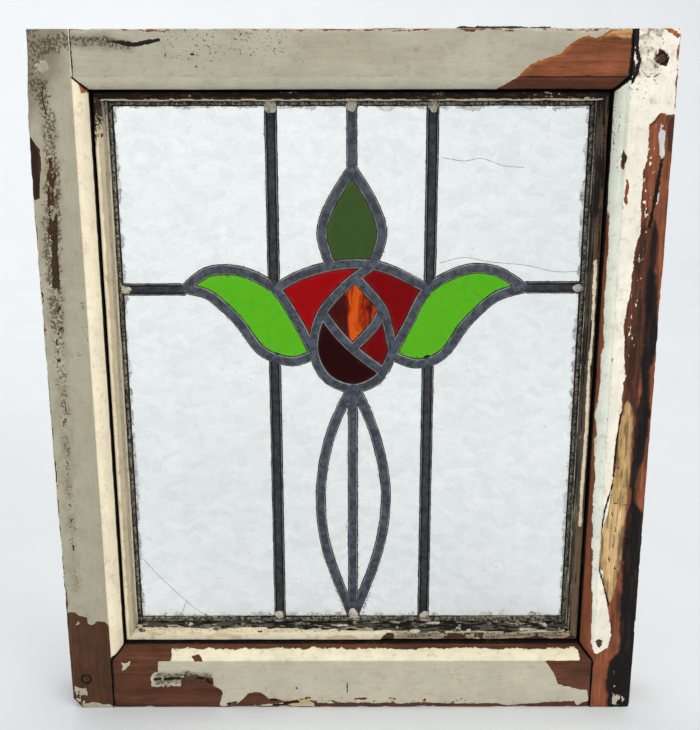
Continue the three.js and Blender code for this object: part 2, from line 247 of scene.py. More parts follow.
def bar(side, section, arris, whole, step):
    """A bar round one side: square-ended as far as the arris, mitred inside it.

    Gives the grid of inward, deep, along values with the outward directions, and a maker
    that turns the grid, once it has been worn, into vertices and faces.
    """
    if side in ("left", "right"):
        mitre_from, mitre_to = ARRIS_BOTTOM + SLIP, ARRIS_TOP - SLIP
    else:
        mitre_from, mitre_to = ARRIS_LEFT + SLIP, ARRIS_RIGHT - SLIP
    inner = section[:, 0] > arris + 1e-6
    past = np.maximum(section[:, 0] - arris, 0)
    if whole is None:
        start, end = mitre_from + past, mitre_to - past
        low, high = start.min(), end.max()
        stations = spaced(low, high, step)
    else:
        if side in ("top", "bottom"):
            mitre_from, mitre_to = whole
        start = np.where(inner, mitre_from + past, whole[0])
        end = np.where(inner, mitre_to - past, whole[1])
        stations = spaced(mitre_from, mitre_to, step)
        if whole[0] < mitre_from:
            stations = np.concatenate([spaced(whole[0], mitre_from, step)[:-1], stations,
                                       spaced(mitre_to, whole[1], step)[1:]])
    first = np.searchsorted(stations, start - 1e-6)
    last = np.searchsorted(stations, end + 1e-6) - 1
    rows = np.arange(len(stations))[:, None]
    held = np.clip(rows, first[None], last[None])
    along = stations[held]
    along = np.where(held == first[None], start[None], along)
    along = np.where(held == last[None], end[None], along)

    before = section - np.roll(section, 1, 0)
    after = np.roll(section, -1, 0) - section
    turn = before / np.linalg.norm(before, axis=1, keepdims=True) \
        + after / np.linalg.norm(after, axis=1, keepdims=True)
    out = np.stack([turn[:, 1], -turn[:, 0]], 1)
    out /= np.linalg.norm(out, axis=1, keepdims=True)
    if np.sum(section[:, 0] * np.roll(section[:, 1], -1)
              - np.roll(section[:, 0], -1) * section[:, 1]) < 0:
        out = -out
    grid = {
        "inward": np.broadcast_to(section[:, 0], along.shape).copy(),
        "deep": np.broadcast_to(section[:, 1], along.shape).copy(),
        "along": along,
        "out": np.broadcast_to(out, along.shape + (2,)),
    }

    def build(height):
        inward = grid["inward"] + grid["out"][..., 0] * height
        deep = grid["deep"] + grid["out"][..., 1] * height
        points = placed(side, inward, along, deep)
        count = len(section)
        number = held * count + np.arange(count)[None]
        a = number[:-1]
        b = np.roll(number, -1, 1)[:-1]
        c = np.roll(number, -1, 1)[1:]
        d = number[1:]
        quads = np.stack([a, b, c, d], -1).reshape(-1, 4)
        faces = []
        column = np.tile(np.arange(count), len(stations) - 1)
        row = np.repeat(np.arange(len(stations) - 1), count)
        following = (column + 1) % count
        mixed = inner[column] != inner[following]
        if whole is not None:
            # Between the last outer column and the first mitred one, only the mitre's length.
            from_row = np.searchsorted(stations, mitre_from - 1e-6)
            to_row = np.searchsorted(stations, mitre_to + 1e-6) - 1
            use = ~mixed | ((row >= from_row) & (row < to_row))
        else:
            use = np.ones(len(quads), bool)
        for quad in quads[use].tolist():
            corners = [v for i, v in enumerate(quad) if v != quad[i - 1]]
            if len(set(corners)) == len(corners) > 2:
                faces.append(corners)
        if whole is None:
            faces.append(number[0][::-1].tolist())
            faces.append(number[-1].tolist())
        else:
            last_outer = np.flatnonzero(~inner & np.roll(inner, -1))[0]
            round_trip = [(last_outer + 1 + k) % count for k in range(count)]
            inside = [k for k in round_trip if inner[k]]
            outside = [k for k in round_trip if not inner[k]]
            front, back = outside[-1], outside[0]
            for end_row, edge_row, flip in ((0, from_row, True),
                                            (len(stations) - 1, to_row, False)):
                cap = [number[end_row][k] for k in outside]
                faces.append(cap[::-1] if flip else cap)
                mitre = [number[edge_row][front]] + [number[end_row][k] for k in inside] \
                    + [number[edge_row][back]]
                faces.append(mitre[::-1] if flip else mitre)
                if end_row != edge_row:
                    steps = range(min(end_row, edge_row), max(end_row, edge_row) + 1)
                    wall = [number[r][front] for r in steps] \
                        + [number[r][back] for r in reversed(steps)]
                    faces.append(wall if flip else wall[::-1])
        flat = points.reshape(-1, 3)
        used = np.unique(np.concatenate([np.array(f) for f in faces]))
        renumber = np.full(len(flat), -1)
        renumber[used] = np.arange(len(used))
        faces = [renumber[np.array(f)].tolist() for f in faces]
        return flat[used], outward(flat[used], faces), used

    return grid, build


def signed_volume(vertices, faces):
    total = 0.0
    by_size = {}
    for face in faces:
        by_size.setdefault(len(face), []).append(face)
    for size, group in by_size.items():
        corners = vertices[np.array(group)]
        for k in range(1, size - 1):
            total += np.sum(np.cross(corners[:, k], corners[:, k + 1]) * corners[:, 0])
    return total / 6


def outward(vertices, faces):
    """The faces, turned over where they enclose a negative volume."""
    return faces if signed_volume(vertices, faces) >= 0 else [face[::-1] for face in faces]


def member_section(arris):
    foot = arris + MOULDING_WIDE
    lip = arris + SIGHT
    return section_line(
        run((0, THICK), (0, 2), 2.4),
        bend((0, 2), (0, 0), (2, 0), 4),
        run((2, 0), (arris - 0.6, 0), 1.05),
        run((arris - 0.6, 0), (arris, 0.25), 1),
        run((arris, 0.25), (arris, QUIRK), 1),
        bend((arris, QUIRK),
             (arris + MOULDING_WIDE / 2 + MOULDING_BULGE,
              (QUIRK + MOULDING_DEEP) / 2 - MOULDING_BULGE),
             (foot, MOULDING_DEEP), 15),
        run((foot, MOULDING_DEEP), (foot, 30), 1.6),
        run((foot, 30), (foot, SEAT_DEEP), 12),
        run((foot, SEAT_DEEP), (lip, SEAT_DEEP), 5),
        run((lip, SEAT_DEEP), (lip, THICK - 2), 2),
        run((lip, THICK - 2), (lip - 2, THICK), 2),
        run((lip - 2, THICK), (arris, THICK), 3),
        run((arris, THICK), (0, THICK), 3.4),
    )


def bead_section(arris):
    outer, inner = arris + MOULDING_WIDE + 0.3, arris + SIGHT
    nose = outer + BEAD_GAP
    step = BEAD_FRONT + BEAD_GAP_DEEP
    return section_line(
        run((nose, step), (nose, BEAD_FRONT + 1.4), 1.7),
        bend((nose, BEAD_FRONT + 1.4), (nose, BEAD_FRONT), (nose + 1.4, BEAD_FRONT), 4),
        run((nose + 1.4, BEAD_FRONT), (inner - 1.2, BEAD_FRONT + 0.1), 0.9),
        bend((inner - 1.2, BEAD_FRONT + 0.1), (inner, BEAD_FRONT + 0.1),
             (inner, BEAD_FRONT + 1.3), 4),
        run((inner, BEAD_FRONT + 1.3), (inner, BEAD_BACK), 1.15),
        run((inner, BEAD_BACK), (outer, BEAD_BACK), 5),
        run((outer, BEAD_BACK), (outer, step), 8),
        run((outer, step), (nose, step), 3),
    )


# ---------------------------------------------------------------- old paint and weather

GREIGE = shade(173, 167, 146)
CREAM = shade(255, 240, 210)
WARM_WHITE = shade(245, 237, 221)
GREEN_WHITE = shade(244, 246, 230)
RED_TIMBER = shade(136, 78, 50)
BROWN_TIMBER = shade(88, 54, 36)
DARK_TIMBER = shade(60, 38, 27)
TAN_TIMBER = shade(196, 160, 108)
ORANGE_TIMBER = shade(178, 106, 52)
SOOT = shade(26, 23, 21)


class Coat:
    """The paint, colours, dirt with some painted shade, and relief of one member's surface, at each
    of its points.
    """

    def __init__(self, side, grid, seed):
        self.side, self.seed = side, seed
        place = placed(side, grid["inward"], grid["along"], grid["deep"])
        self.points = place
        self.x, self.z = place[..., 0], place[..., 2]
        self.inward, self.deep, self.along = grid["inward"], grid["deep"], grid["along"]
        arris = FACE[side]
        self.on_face = (self.inward < arris - 0.2) & (self.deep < 1.9)
        self.on_moulding = (self.inward >= arris - 0.2) & (self.deep < 40)
        self.on_edge = (self.inward < 0.4) & (self.deep > 1.9)
        self.on_back = self.deep > SEAT_DEEP - 0.5
        self.paint = np.full(self.x.shape, 4.0)
        self.tint = np.empty(self.x.shape + (3,))
        self.timber = np.empty(self.x.shape + (3,))
        self.tint[:] = GREIGE
        self.timber[:] = BROWN_TIMBER
        self.grime_and_shade = np.zeros(self.x.shape)
        self.height = np.zeros(self.x.shape)
        self.speckle = np.zeros(self.x.shape)
        self.seed_step = 0
        self.wobble = self.noise(7, 4) * 1.3 + self.noise(2.2, 2) * 0.5

    def next_seed(self):
        self.seed_step += 1
        return self.seed * 100 + self.seed_step

    def noise(self, cell, octaves=3):
        return rough(self.points, cell, self.next_seed(), octaves)

    def grain_cell(self, across, along):
        upright = self.side in ("left", "right")
        return (across, across, along) if upright else (along, across, across)

    def chosen(self, where):
        return self.on_face if where is None else where

    def soot_and_shade(self, amount, where=True):
        """Dirt, and in places painted shade, never less than what lies there already."""
        self.grime_and_shade = np.maximum(self.grime_and_shade, np.where(where, amount, 0))

    def stain(self, colour, amount, where=True):
        self.tint = blend_colour(self.tint, colour, np.where(where, amount, 0))

    def lay(self, where, cover):
        """Sets how far inside its film the paint is; below nought the timber shows."""
        self.paint = np.where(where, cover, self.paint)

    def patch(self, outline, where=None):
        share = within(self.x, self.z, outline) + self.wobble * 0.55
        where = self.chosen(where)
        self.paint = np.where(where, np.maximum(self.paint, share), self.paint)

    def bare(self, outline, where=None):
        share = -within(self.x, self.z, outline) + self.wobble * 0.55
        where = self.chosen(where)
        self.paint = np.where(where, np.minimum(self.paint, share), self.paint)

    def flaking(self, outline, cover, where=None, cell=3.0, soft=3.0):
        inside = smooth(-soft, soft, within(self.x, self.z, outline))
        where = self.chosen(where)
        broken = self.noise(self.grain_cell(cell, cell * 2.5)) * 2.2 + cover
        mixed = self.paint * (1 - inside) + np.minimum(self.paint, broken) * inside
        self.paint = np.where(where, mixed, self.paint)

    def dye(self, which, colour, outline, soft=2.0, where=None, share=1.0):
        away = within(self.x, self.z, outline) + self.wobble
        amount = smooth(-soft * 0.45, soft * 0.45, away) * share
        where = self.chosen(where)
        amount = np.where(where, amount, 0)
        setattr(self, which, blend_colour(getattr(self, which), colour, amount))

    def soil(self, outline, amount=1.0, soft=1.5, where=None, cell=4.0):
        share = smooth(-soft, soft, within(self.x, self.z, outline) + self.noise(cell) * soft)
        where = self.chosen(where)
        self.grime_and_shade = np.where(where, np.maximum(self.grime_and_shade, share * amount), self.grime_and_shade)

    def specks(self, amount, where=None):
        """How thickly fly specks and mould spots lie; the finish draws the spots."""
        where = self.chosen(where)
        self.speckle = np.where(where, np.maximum(self.speckle, amount), self.speckle)

    def mark(self, line, wide, amount=1.0, where=None, dig=0.0, soft=0.6):
        away = off_line(self.x, self.z, line) + self.noise(3.0) * wide * 0.4
        share = 1 - smooth(wide - soft, wide + soft, away)
        where = self.chosen(where)
        share = np.where(where, share, 0)
        self.grime_and_shade = np.maximum(self.grime_and_shade, share * amount)
        self.height -= share * dig

    def scrape(self, line, wide, where=None):
        away = off_line(self.x, self.z, line) + self.noise(2.5) * wide * 0.5
        where = self.chosen(where)
        self.paint = np.where(where, np.minimum(self.paint, away - wide), self.paint)


def common_wear(coat):
    """What every member shares: its edges, its outer side, its back and its old surface."""
    arris = FACE[coat.side]
    side_noise = coat.noise(coat.grain_cell(7, 60))
    coat.lay(coat.on_edge, side_noise * 3.2 + 0.4 - 0.05 * coat.deep)
    coat.lay(coat.on_back, coat.noise(coat.grain_cell(9, 40)) * 2.6 + 2.0)
    coat.stain(WARM_WHITE, 0.75, coat.on_back)
    stripe = coat.noise(coat.grain_cell(2.6, 70), 4)
    coat.timber = coat.timber * (1 + 0.28 * stripe[..., None])
    mottled = coat.noise(34, 4)
    coat.tint = coat.tint * (1 + 0.045 * mottled[..., None])
    worn_edge = np.minimum(np.abs(coat.inward - 0.5), 9) + np.maximum(coat.deep - 1.5, 0) * 3
    nicks = coat.noise(coat.grain_cell(3.5, 14)) * 1.7 + 0.85
    coat.lay(coat.inward < 6, np.minimum(coat.paint, worn_edge * 0.55 + nicks - 0.75))
    near_arris = np.hypot(coat.inward - arris, coat.deep * 1.2)
    chips = coat.noise(coat.grain_cell(2.4, 9))
    coat.paint = np.minimum(coat.paint, near_arris * 0.8 + chips * 1.5 + 0.9)
    # Painted shade: the inner wall down into the gap behind the bead is darkened; its paint ends a
    # little way in.
    inner_lip = coat.on_moulding & (coat.deep > MOULDING_DEEP + 1)
    coat.grime_and_shade = np.where(inner_lip, 0.75 + 0.3 * chips, coat.grime_and_shade)
    coat.lay(inner_lip, MOULDING_DEEP + 1.6 - coat.deep + chips)


def settle_relief(coat):
    """Relief that follows from the finish: film thickness, open grain, dents and cracks."""
    film = smooth(-0.25, 0.35, coat.paint) * 0.38
    grain = coat.noise(coat.grain_cell(1.5, 42), 4)
    furrow = np.maximum(coat.noise(coat.grain_cell(1.9, 55), 3), 0) ** 2
    is_bare = 1 - smooth(-0.3, 0.6, coat.paint)
    coat.height += film + grain * (0.05 + 0.16 * is_bare) - furrow * 0.5 * is_bare
    coat.height += coat.noise(26, 2) * 0.16 + coat.noise(5, 3) * 0.035
    arris = FACE[coat.side]
    corner = np.exp(-(np.hypot(coat.inward - 0.6, coat.deep - 0.6) / 2.2) ** 2)
    dents = np.maximum(coat.noise(coat.grain_cell(5, 11)) - 0.12, 0)
    coat.height -= corner * dents * 2.2
    inner_corner = np.exp(-(np.hypot(coat.inward - arris + 0.2, coat.deep - 0.4) / 1.1) ** 2)
    coat.height -= inner_corner * np.maximum(coat.noise(coat.grain_cell(3, 8)) - 0.25, 0) * 1.4
    hidden = (coat.inward > arris + 3) & (coat.deep > 30) & (coat.deep < THICK - 1)
    coat.height = np.where(hidden, np.minimum(coat.height, 0.0) * 0.2, coat.height)
    coat.height = np.clip(coat.height, -3.2, 0.95)


def dark_joints(coat):
    """Open shoulder lines and mitres, packed with old dirt; round the top right inner corner the
    dark spreads into painted shade.
    """
    inside = coat.inward - FACE[coat.side]
    if coat.side in ("left", "right"):
        gap = np.minimum(coat.along - ARRIS_BOTTOM, ARRIS_TOP - coat.along) - inside
        ends = coat.along < ARRIS_BOTTOM
        if coat.side == "right":
            ends |= coat.along > ARRIS_TOP
        shoulder = np.where(ends, np.abs(inside) + 0.4, 9.0)
        gap = np.where(ends, 0.0, gap)
        gap = np.where((coat.along > ARRIS_TOP) & ~ends, 9.0, gap)
    else:
        gap = np.minimum(coat.along - ARRIS_LEFT, ARRIS_RIGHT - coat.along) - inside
        shoulder = np.minimum(coat.along - ARRIS_LEFT, ARRIS_RIGHT - coat.along)
    near = np.where(coat.on_moulding, np.abs(gap), np.where(coat.on_face, shoulder, 9))
    strong = 1.1 + 0.9 * coat.wobble
    # Painted shade: round the top right inner corner the dark line swells into a patch.
    if coat.side in ("top", "right"):
        corner = np.hypot(coat.x - 232, coat.z - 594)
        strong = strong + 3.0 * np.exp(-(corner / 16) ** 2)
    dark = 1 - smooth(0.2, 1.6, near - strong * 0.55)
    coat.soot_and_shade(dark * 0.95)
    coat.height -= (1 - smooth(0.0, 1.2, near)) * 0.7


def peg_seats(coat, pegs):
    for x, z in pegs:
        away = np.hypot(coat.x - x, coat.z - z) + coat.noise(3) * 0.25
        front = (coat.deep < 1.9) & coat.on_face
        pit = (1 - smooth(PEG_RADIUS - 0.5, PEG_RADIUS + 0.7, away)) * front
        coat.height -= pit * 1.7
        ring = np.exp(-((away - PEG_RADIUS - 0.2) / 0.7) ** 2) * front
        if x < 0 and z > 300:
            # Painted light on the raised paint ring round this peg: its upper half is painted pale
            # as a highlight and its lower half a little darker as shade.
            coat.soot_and_shade(ring * 0.3 * (coat.z < z))
            coat.stain(shade(226, 219, 196), ring * (coat.z > z - 2))
            continue
        coat.soot_and_shade(ring * 0.95)
        around = (1 - smooth(PEG_RADIUS + 0.5, PEG_RADIUS + 3.0, away + coat.wobble)) * front
        coat.soot_and_shade(around * 0.6)
        back = coat.on_back & (np.hypot(coat.x - x, coat.z - z) < 20)
        pit = (1 - smooth(PEG_RADIUS - 0.6, PEG_RADIUS + 0.6, away)) * back
        coat.height -= pit * 1.2


def tenon_ends(coat):
    """End grain of the through tenons on a stile's outer side."""
    for low, high in ((10, 48), (597, 624)):
        y = coat.points[..., 1]
        inside = np.minimum.reduce([coat.z - low, high - coat.z, y + 9, 9 - y])
        dark_line = np.exp(-(inside / 0.8) ** 2) * coat.on_edge
        coat.height -= dark_line * 0.9
        coat.soot_and_shade(dark_line * 0.9)
        core = smooth(0, 1, inside) * coat.on_edge
        rings = rough(coat.points, (40, 1.6, 5), 77, 3)
        coat.timber = blend_colour(coat.timber, np.array(DARK_TIMBER) * (1 + 0.3 * rings[..., None]),
                                   core)
        coat.lay(core > 0.2, np.minimum(coat.paint, -0.6 + rings))


PEGS = {
    "peg_top_left": (-257.0, 601.5), "peg_top_right": (258.5, 608.5),
    "peg_bottom_left": (-258.5, 31.0), "peg_bottom_right": (260.5, 18.0),
}


def left_stile(coat):
    coat.timber[:] = BROWN_TIMBER
    coat.tint[:] = GREIGE
    face = [(-276, 103), (-264, 103), (-260, 100), (-253, 98), (-252, 92), (-249, 90), (-245, 94),
            (-237, 93), (-234, 90), (-228, 90), (-228, 640), (-276, 640)]
    coat.lay(coat.on_face, within(coat.x, coat.z, face) + coat.wobble * 0.7)
    coat.patch([(-262, 94), (-260, 91), (-265, 89)])
    coat.scrape([(-260, 66), (-253, 65), (-248, 68)], 0.3)
    coat.patch([(-270, 24), (-265, 21), (-259, 21), (-258, 13), (-263, 2), (-268, 7), (-271, 13)])
    coat.flaking([(-271, 25), (-258, 22), (-257, 12), (-263, 1), (-272, 8)], 0.1, cell=1.6)
    coat.patch([(-261, 5), (-250, 6), (-244, 4), (-234, 3), (-234, -2), (-263, -2)])
    coat.bare([(-276, 554), (-269, 542), (-264, 535), (-264, 522), (-267, 494), (-276, 490)])
    coat.dye("timber", SOOT, [(-276, 552), (-268, 542), (-265, 530), (-268, 496), (-276, 492)],
             share=0.75)
    band = [(-270, 593), (-260, 570), (-260, 557), (-262, 544), (-261, 520), (-265, 474),
            (-267, 444), (-267, 400), (-264, 300), (-264, 125), (-259, 125), (-257, 250),
            (-254, 378), (-253, 444), (-251, 477), (-248, 520), (-250, 544), (-249, 557),
            (-252, 570), (-253, 592)]
    coat.flaking(band, 0.95, cell=1.9, soft=2.5)
    coat.flaking([(-260, 520), (-262, 470), (-262, 416), (-255, 416), (-253, 470), (-254, 520)],
                 0.0, cell=2.2)
    coat.bare([(-256, 480), (-252.5, 480), (-255, 444), (-255.5, 416), (-262.5, 416), (-260.5, 444)])
    coat.dye("timber", DARK_TIMBER, band, share=0.7)
    coat.dye("timber", SOOT, [(-257, 480), (-253, 470), (-255, 416), (-263, 416), (-261, 446)],
             share=0.6)
    coat.soil([(-258, 624), (-243, 623), (-243, 616), (-256, 615)], 0.42, soft=4, cell=5)
    coat.mark([(-257, 622), (-244, 625), (-231, 626)], 1.6, 0.5, soft=2.5)
    coat.dye("tint", shade(198, 192, 176), [(-263, 608), (-251, 608), (-251, 595), (-263, 595)],
             soft=1.5, share=0.7)
    coat.mark([(-237, 404), (-236.5, 399)], 1.6, 0.5)
    for k in range(5):
        coat.mark([(-241 + k * 1.4, 386 - k * 3), (-238 + k * 0.9, 379 - k * 2.4)], 0.35, 0.75)
    coat.specks(0.34 + 0.25 * coat.noise(40, 2))
    band_near = smooth(-6, 3, within(coat.x, coat.z, band) + coat.wobble * 2)
    coat.specks(band_near * (0.72 + 0.26 * smooth(300, 480, coat.z)))
    coat.specks(smooth(555, 590, coat.z) * 0.86 * (1 - smooth(-264, -246, coat.x)))
    mould = within(coat.x, coat.z, [(-262, 628), (-231, 629), (-231, 616), (-250, 612),
                                    (-262, 606)])
    coat.specks(smooth(-4, 3, mould + coat.wobble * 2) * 0.95)
    coat.stain(shade(140, 128, 104), band_near * smooth(-0.6, 0.5, coat.noise(9)) * 0.6,
               coat.on_face)
    top_stain = within(coat.x, coat.z, [(-273, 632), (-240, 632), (-246, 600), (-273, 560)])
    coat.stain(shade(122, 112, 92), smooth(-12, 6, top_stain + coat.wobble * 3) * 0.7, coat.on_face)
    moulding = coat.on_moulding & (coat.deep <= MOULDING_DEEP + 1)
    coat.tint = np.where(moulding[..., None], CREAM, coat.tint)
    end = coat.z - 56 + coat.noise(6) * 2.5
    coat.lay(moulding, np.minimum(end, 4))
    coat.bare([(-229, 592), (-223.5, 583), (-228, 581)], where=moulding)
    coat.dye("timber", ORANGE_TIMBER, [(-230, 593), (-223, 583), (-228, 580)], where=moulding)
    low = coat.on_face & (coat.z < 105)
    coat.timber = np.where(low[..., None], blend_colour(coat.timber, shade(84, 56, 39),
                                                        np.full(coat.x.shape, 0.8)), coat.timber)


def top_rail(coat):
    coat.timber[:] = RED_TIMBER
    coat.tint[:] = shade(180, 174, 154)
    patch = [(124, 585), (129, 588), (138, 593), (141, 596), (151, 604), (163, 609), (175, 613),
             (182, 620), (191, 625), (196, 627), (202, 625), (207, 626), (214, 628), (224, 629),
             (240, 629), (240, 560), (118, 560)]
    coat.bare(patch, where=coat.on_face | coat.on_moulding)
    coat.dye("timber", TAN_TIMBER, [(206, 624), (216, 631), (234, 632), (234, 626), (226, 624.5),
                                    (217, 627)], soft=1.2)
    coat.bare([(207, 626), (216, 631), (234, 632), (234, 625)])
    rim = within(coat.x, coat.z, patch)
    edge = np.exp(-((rim - 1.0) / 1.5) ** 2) * (coat.on_face | coat.on_moulding)
    coat.timber = blend_colour(coat.timber, ORANGE_TIMBER, edge * 0.75)
    low_wood = coat.on_moulding & (coat.x > 112)
    coat.timber = blend_colour(coat.timber, shade(96, 54, 38), np.where(low_wood, 0.8, 0))
    # Painted shade: a dark line just under the arris, along the right part of the rail.
    under = np.exp(-((coat.inward - FACE["top"] - 0.3) / 0.8) ** 2) * smooth(118, 150, coat.x)
    coat.soot_and_shade(under * 0.75)
    coat.mark([(144, 592), (157, 592.5)], 0.8, 0.55)
    coat.mark([(191, 590), (201, 590.5)], 0.8, 0.5)
    coat.mark([(-231, 624), (-207, 623.5), (-185, 622.5)], 3.0, 0.5, soft=3.2)
    coat.mark([(-200, 622.5), (-184, 620.5), (-172, 621)], 1.2, 0.9, soft=1.6)
    coat.mark([(-192, 621.5), (-180, 619.6), (-168, 621.5), (-159, 623.5)], 1.7, 1.0, dig=-0.3,
              soft=1.0)
    zone = smooth(-175, -150, coat.x) * (1 - smooth(-60, -35, coat.x))
    coat.specks(0.40 + zone * 0.20 * smooth(597, 612, coat.z))
    smear = off_line(coat.x, coat.z, [(-236, 622), (-205, 622.5), (-185, 620)])
    coat.specks((1 - smooth(2.0, 6.5, smear + coat.wobble)) * 0.95)
    sooty = (1 - smooth(2, 9, smear + coat.wobble * 2)) * 0.5
    coat.stain(shade(96, 88, 74), sooty, coat.on_face)
    for x, z, size in ((-132, 612, 1.3), (-129, 602, 1.0), (-133, 596, 0.9), (-98, 592, 2.0)):
        coat.mark([(x, z), (x + 1, z)], size, 0.7)
    coat.mark([(92, 588.5), (97, 587.5), (102, 588.3)], 0.4, 0.6)
    lumps = np.clip(coat.noise(2.6, 2) - 0.2, 0, 1) * smooth(60, 190, coat.x)
    coat.height += np.where(coat.on_face, lumps * smooth(612, 628, coat.z) * 0.9, 0)
    moulding = coat.on_moulding & (coat.deep <= MOULDING_DEEP + 1)
    coat.tint = np.where(moulding[..., None], shade(206, 199, 178), coat.tint)
    coat.specks(0.4, where=moulding)
    stain = smooth(0.0, 0.8, coat.noise((60, 12, 12))) * 0.35
    coat.stain(shade(150, 134, 108), stain * 0.6, coat.on_face)


def right_stile(coat):
    coat.timber[:] = shade(142, 82, 55)
    coat.tint[:] = WARM_WHITE
    border = [(272, 563), (260, 564), (257, 559), (252, 555), (252, 536), (251, 519), (249, 516),
              (250, 507), (249, 492), (251, 467), (248, 454), (246, 419), (242, 383), (246, 337),
              (244.5, 295), (242, 276), (241.5, 232), (239, 203), (234, 183), (233, 167),
              (234, 149), (238, 145), (240, 130), (245, 109), (249, 87), (250, 79), (248, 65),
              (238, 58), (235, 60), (231, 73), (229, 90), (228, 640), (278, 640), (278, 563)]
    shape = within(coat.x, coat.z, border)
    coat.lay(coat.on_face, shape + coat.wobble * 0.6)
    face = coat.on_face
    coat.dye("timber", shade(84, 50, 36), [(248, 470), (262, 470), (262, 379), (259, 300),
                                           (246, 300), (242, 383)], soft=3, share=0.9)
    for outline in ([(251, 563), (262, 566), (258, 556), (253, 552)],
                    [(251, 470), (256, 486), (255, 440), (251, 410), (248, 440)],
                    [(268, 562), (274, 562), (274, 531), (269, 536)],
                    [(255, 420), (251, 380), (247, 330), (252, 320), (257, 380)]):
        coat.dye("timber", DARK_TIMBER, outline, soft=2.5, share=0.8)
    coat.dye("timber", TAN_TIMBER, [(250, 314), (256, 302), (257, 250), (255, 197), (254, 157),
                                    (252, 132), (247, 112), (242, 128), (234, 157),
                                    (234, 208), (242, 232), (245, 289)],
             soft=1.6)
    pale_scar = [(243, 215), (254, 208), (253, 165), (248, 128), (242, 135), (237, 165),
                 (238, 200)]
    coat.dye("timber", shade(228, 190, 138), pale_scar, soft=6, share=0.8)
    black = [(262, 478), (267, 462), (266, 430), (271, 400), (274, 372), (268, 340), (272, 300),
             (269, 262), (266, 246), (262, 236), (264, 214), (270, 206), (276, 196), (276, -2),
             (251, -2), (249, 30), (250, 50), (260, 62), (257, 88), (257, 116), (256, 157),
             (256, 197), (259, 214), (258, 250), (258, 300), (262, 323), (259, 350), (261, 383),
             (259, 420)]
    coat.dye("timber", shade(24, 21, 20), black, soft=3.0, share=1.0)
    coat.dye("timber", shade(24, 21, 20), [(259, 262), (266, 256), (262, 232), (258, 228)],
             soft=2.5, share=0.9)
    coat.speckle = np.where(coat.on_face & (shape < 0), 0.34, coat.speckle)
    for line in ([(241.6, 232), (236, 206), (234, 183)], [(234, 150), (240, 130), (246, 110)],
                 [(245, 300), (243, 276), (242, 240)]):
        coat.mark(line, 0.9, 0.9, dig=0.9, where=face)
    for x, z, reach in ((243, 205, 4), (247, 190, 5), (246, 172, 4), (243, 160, 5), (249, 150, 3),
                        (245, 250, 3), (252, 232, 2), (248, 218, 4)):
        coat.mark([(x, z), (x + 0.8, z - reach)], 0.75, 0.7, dig=0.7, where=face)
    coat.mark([(244, 214), (258, 212)], 0.4, 0.8, dig=0.4, where=face)
    coat.mark([(246, 249), (256, 247)], 0.3, 0.7, dig=0.3, where=face)
    coat.patch([(261, 552), (265, 550), (267, 530), (264, 524), (260.5, 543)])
    sliver_tint = within(coat.x, coat.z, [(258, 555), (269, 555), (267, 470), (258, 470)])
    coat.stain(shade(206, 208, 208), smooth(-2, 2, sliver_tint))
    coat.mark([(264.6, 526), (263, 505), (260.5, 486), (258.6, 470)], 1.6, 0.95, dig=0.4)
    coat.patch([(264.4, 530), (265.8, 528), (264.2, 492), (262.6, 488)])
    coat.mark([(256, 458), (255.4, 448)], 1.1, 0.6)
    coat.patch([(257, 24), (264, 15), (268, 8), (262, 1), (256, 4), (255, 12)])
    coat.patch([(254.6, 39), (256.6, 39.4), (256.2, 35.6)])
    coat.flaking([(252, 46), (274, 40), (274, -2), (250, -2)], 0.05, cell=2.3)
    chipped = within(coat.x, coat.z, [(250, 50), (276, 50), (276, -2), (248, -2)])
    coat.stain(shade(196, 190, 172), smooth(-2, 2, chipped))
    upper = [(230, 640), (278, 640), (278, 563), (230, 563)]
    coat.flaking(upper, 2.3, cell=1.7)
    coat.flaking([(236, 640), (278, 640), (278, 624), (236, 624)], 1.5, cell=2.2)
    coat.bare([(255, 615.5), (260, 615.5), (264, 607), (263, 602), (259, 603), (256, 609)])
    coat.dye("timber", SOOT, [(253, 617), (262, 617), (266, 607), (263, 600), (257, 602)],
             share=0.8)
    coat.mark([(242, 599), (247, 594), (252, 593), (258, 597)], 0.5, 0.9, dig=0.6)
    coat.dye("timber", ORANGE_TIMBER, [(257, 634), (273, 634), (273, 624), (266, 628)], share=0.8)
    coat.scrape([(259, 633), (270.5, 626.5)], 1.6)
    coat.bare([(236.2, 70), (238.4, 73.4), (241.8, 72), (242.2, 68), (240, 64), (237.4, 65.6)])
    coat.dye("timber", shade(84, 62, 50), [(233, 76), (245, 76), (245, 61), (233, 61)])
    coat.mark([(236, 70.6), (238.6, 73.6), (242.2, 71.6)], 0.7, 0.9, dig=0.8)
    moulding = coat.on_moulding & (coat.deep <= MOULDING_DEEP + 1)
    coat.tint = np.where(moulding[..., None], GREEN_WHITE, coat.tint)
    reach = np.interp(coat.z, [60, 77, 120, 160, 240, 300, 340, 466, 492, 520, 590],
                      [1, 2.0, 3.4, 5.6, 7.6, 8.0, 7.2, 7.8, 9.5, 12.0, 12.5])
    inside = coat.inward - FACE["right"]
    edge = reach - inside + coat.noise((6, 6, 14)) * 1.1
    coat.lay(moulding, np.minimum(edge, 4))
    for outline in ([(232, 535), (235, 527), (233, 516), (230.5, 522)],
                    [(236, 510), (238.5, 503), (237, 487), (234.5, 492)]):
        coat.bare(outline, where=moulding | face)
    coat.dye("timber", SOOT, [(230, 537), (236, 527), (233, 514)], where=moulding, share=0.8)
    low = [(221, 237), (226, 193), (224, 185), (229, 162), (229, 130), (230, 102), (231, 73),
           (235, 60), (238, 40), (212, 40), (212, 237)]
    coat.bare(low, where=moulding)
    coat.specks(0.36 + 0.22 * smooth(560, 585, coat.z) * (1 - smooth(256, 268, coat.x)))
    coat.specks(0.45, where=moulding)
    streaks = np.maximum(coat.noise(coat.grain_cell(1.8, 22), 4) - 0.12, 0)
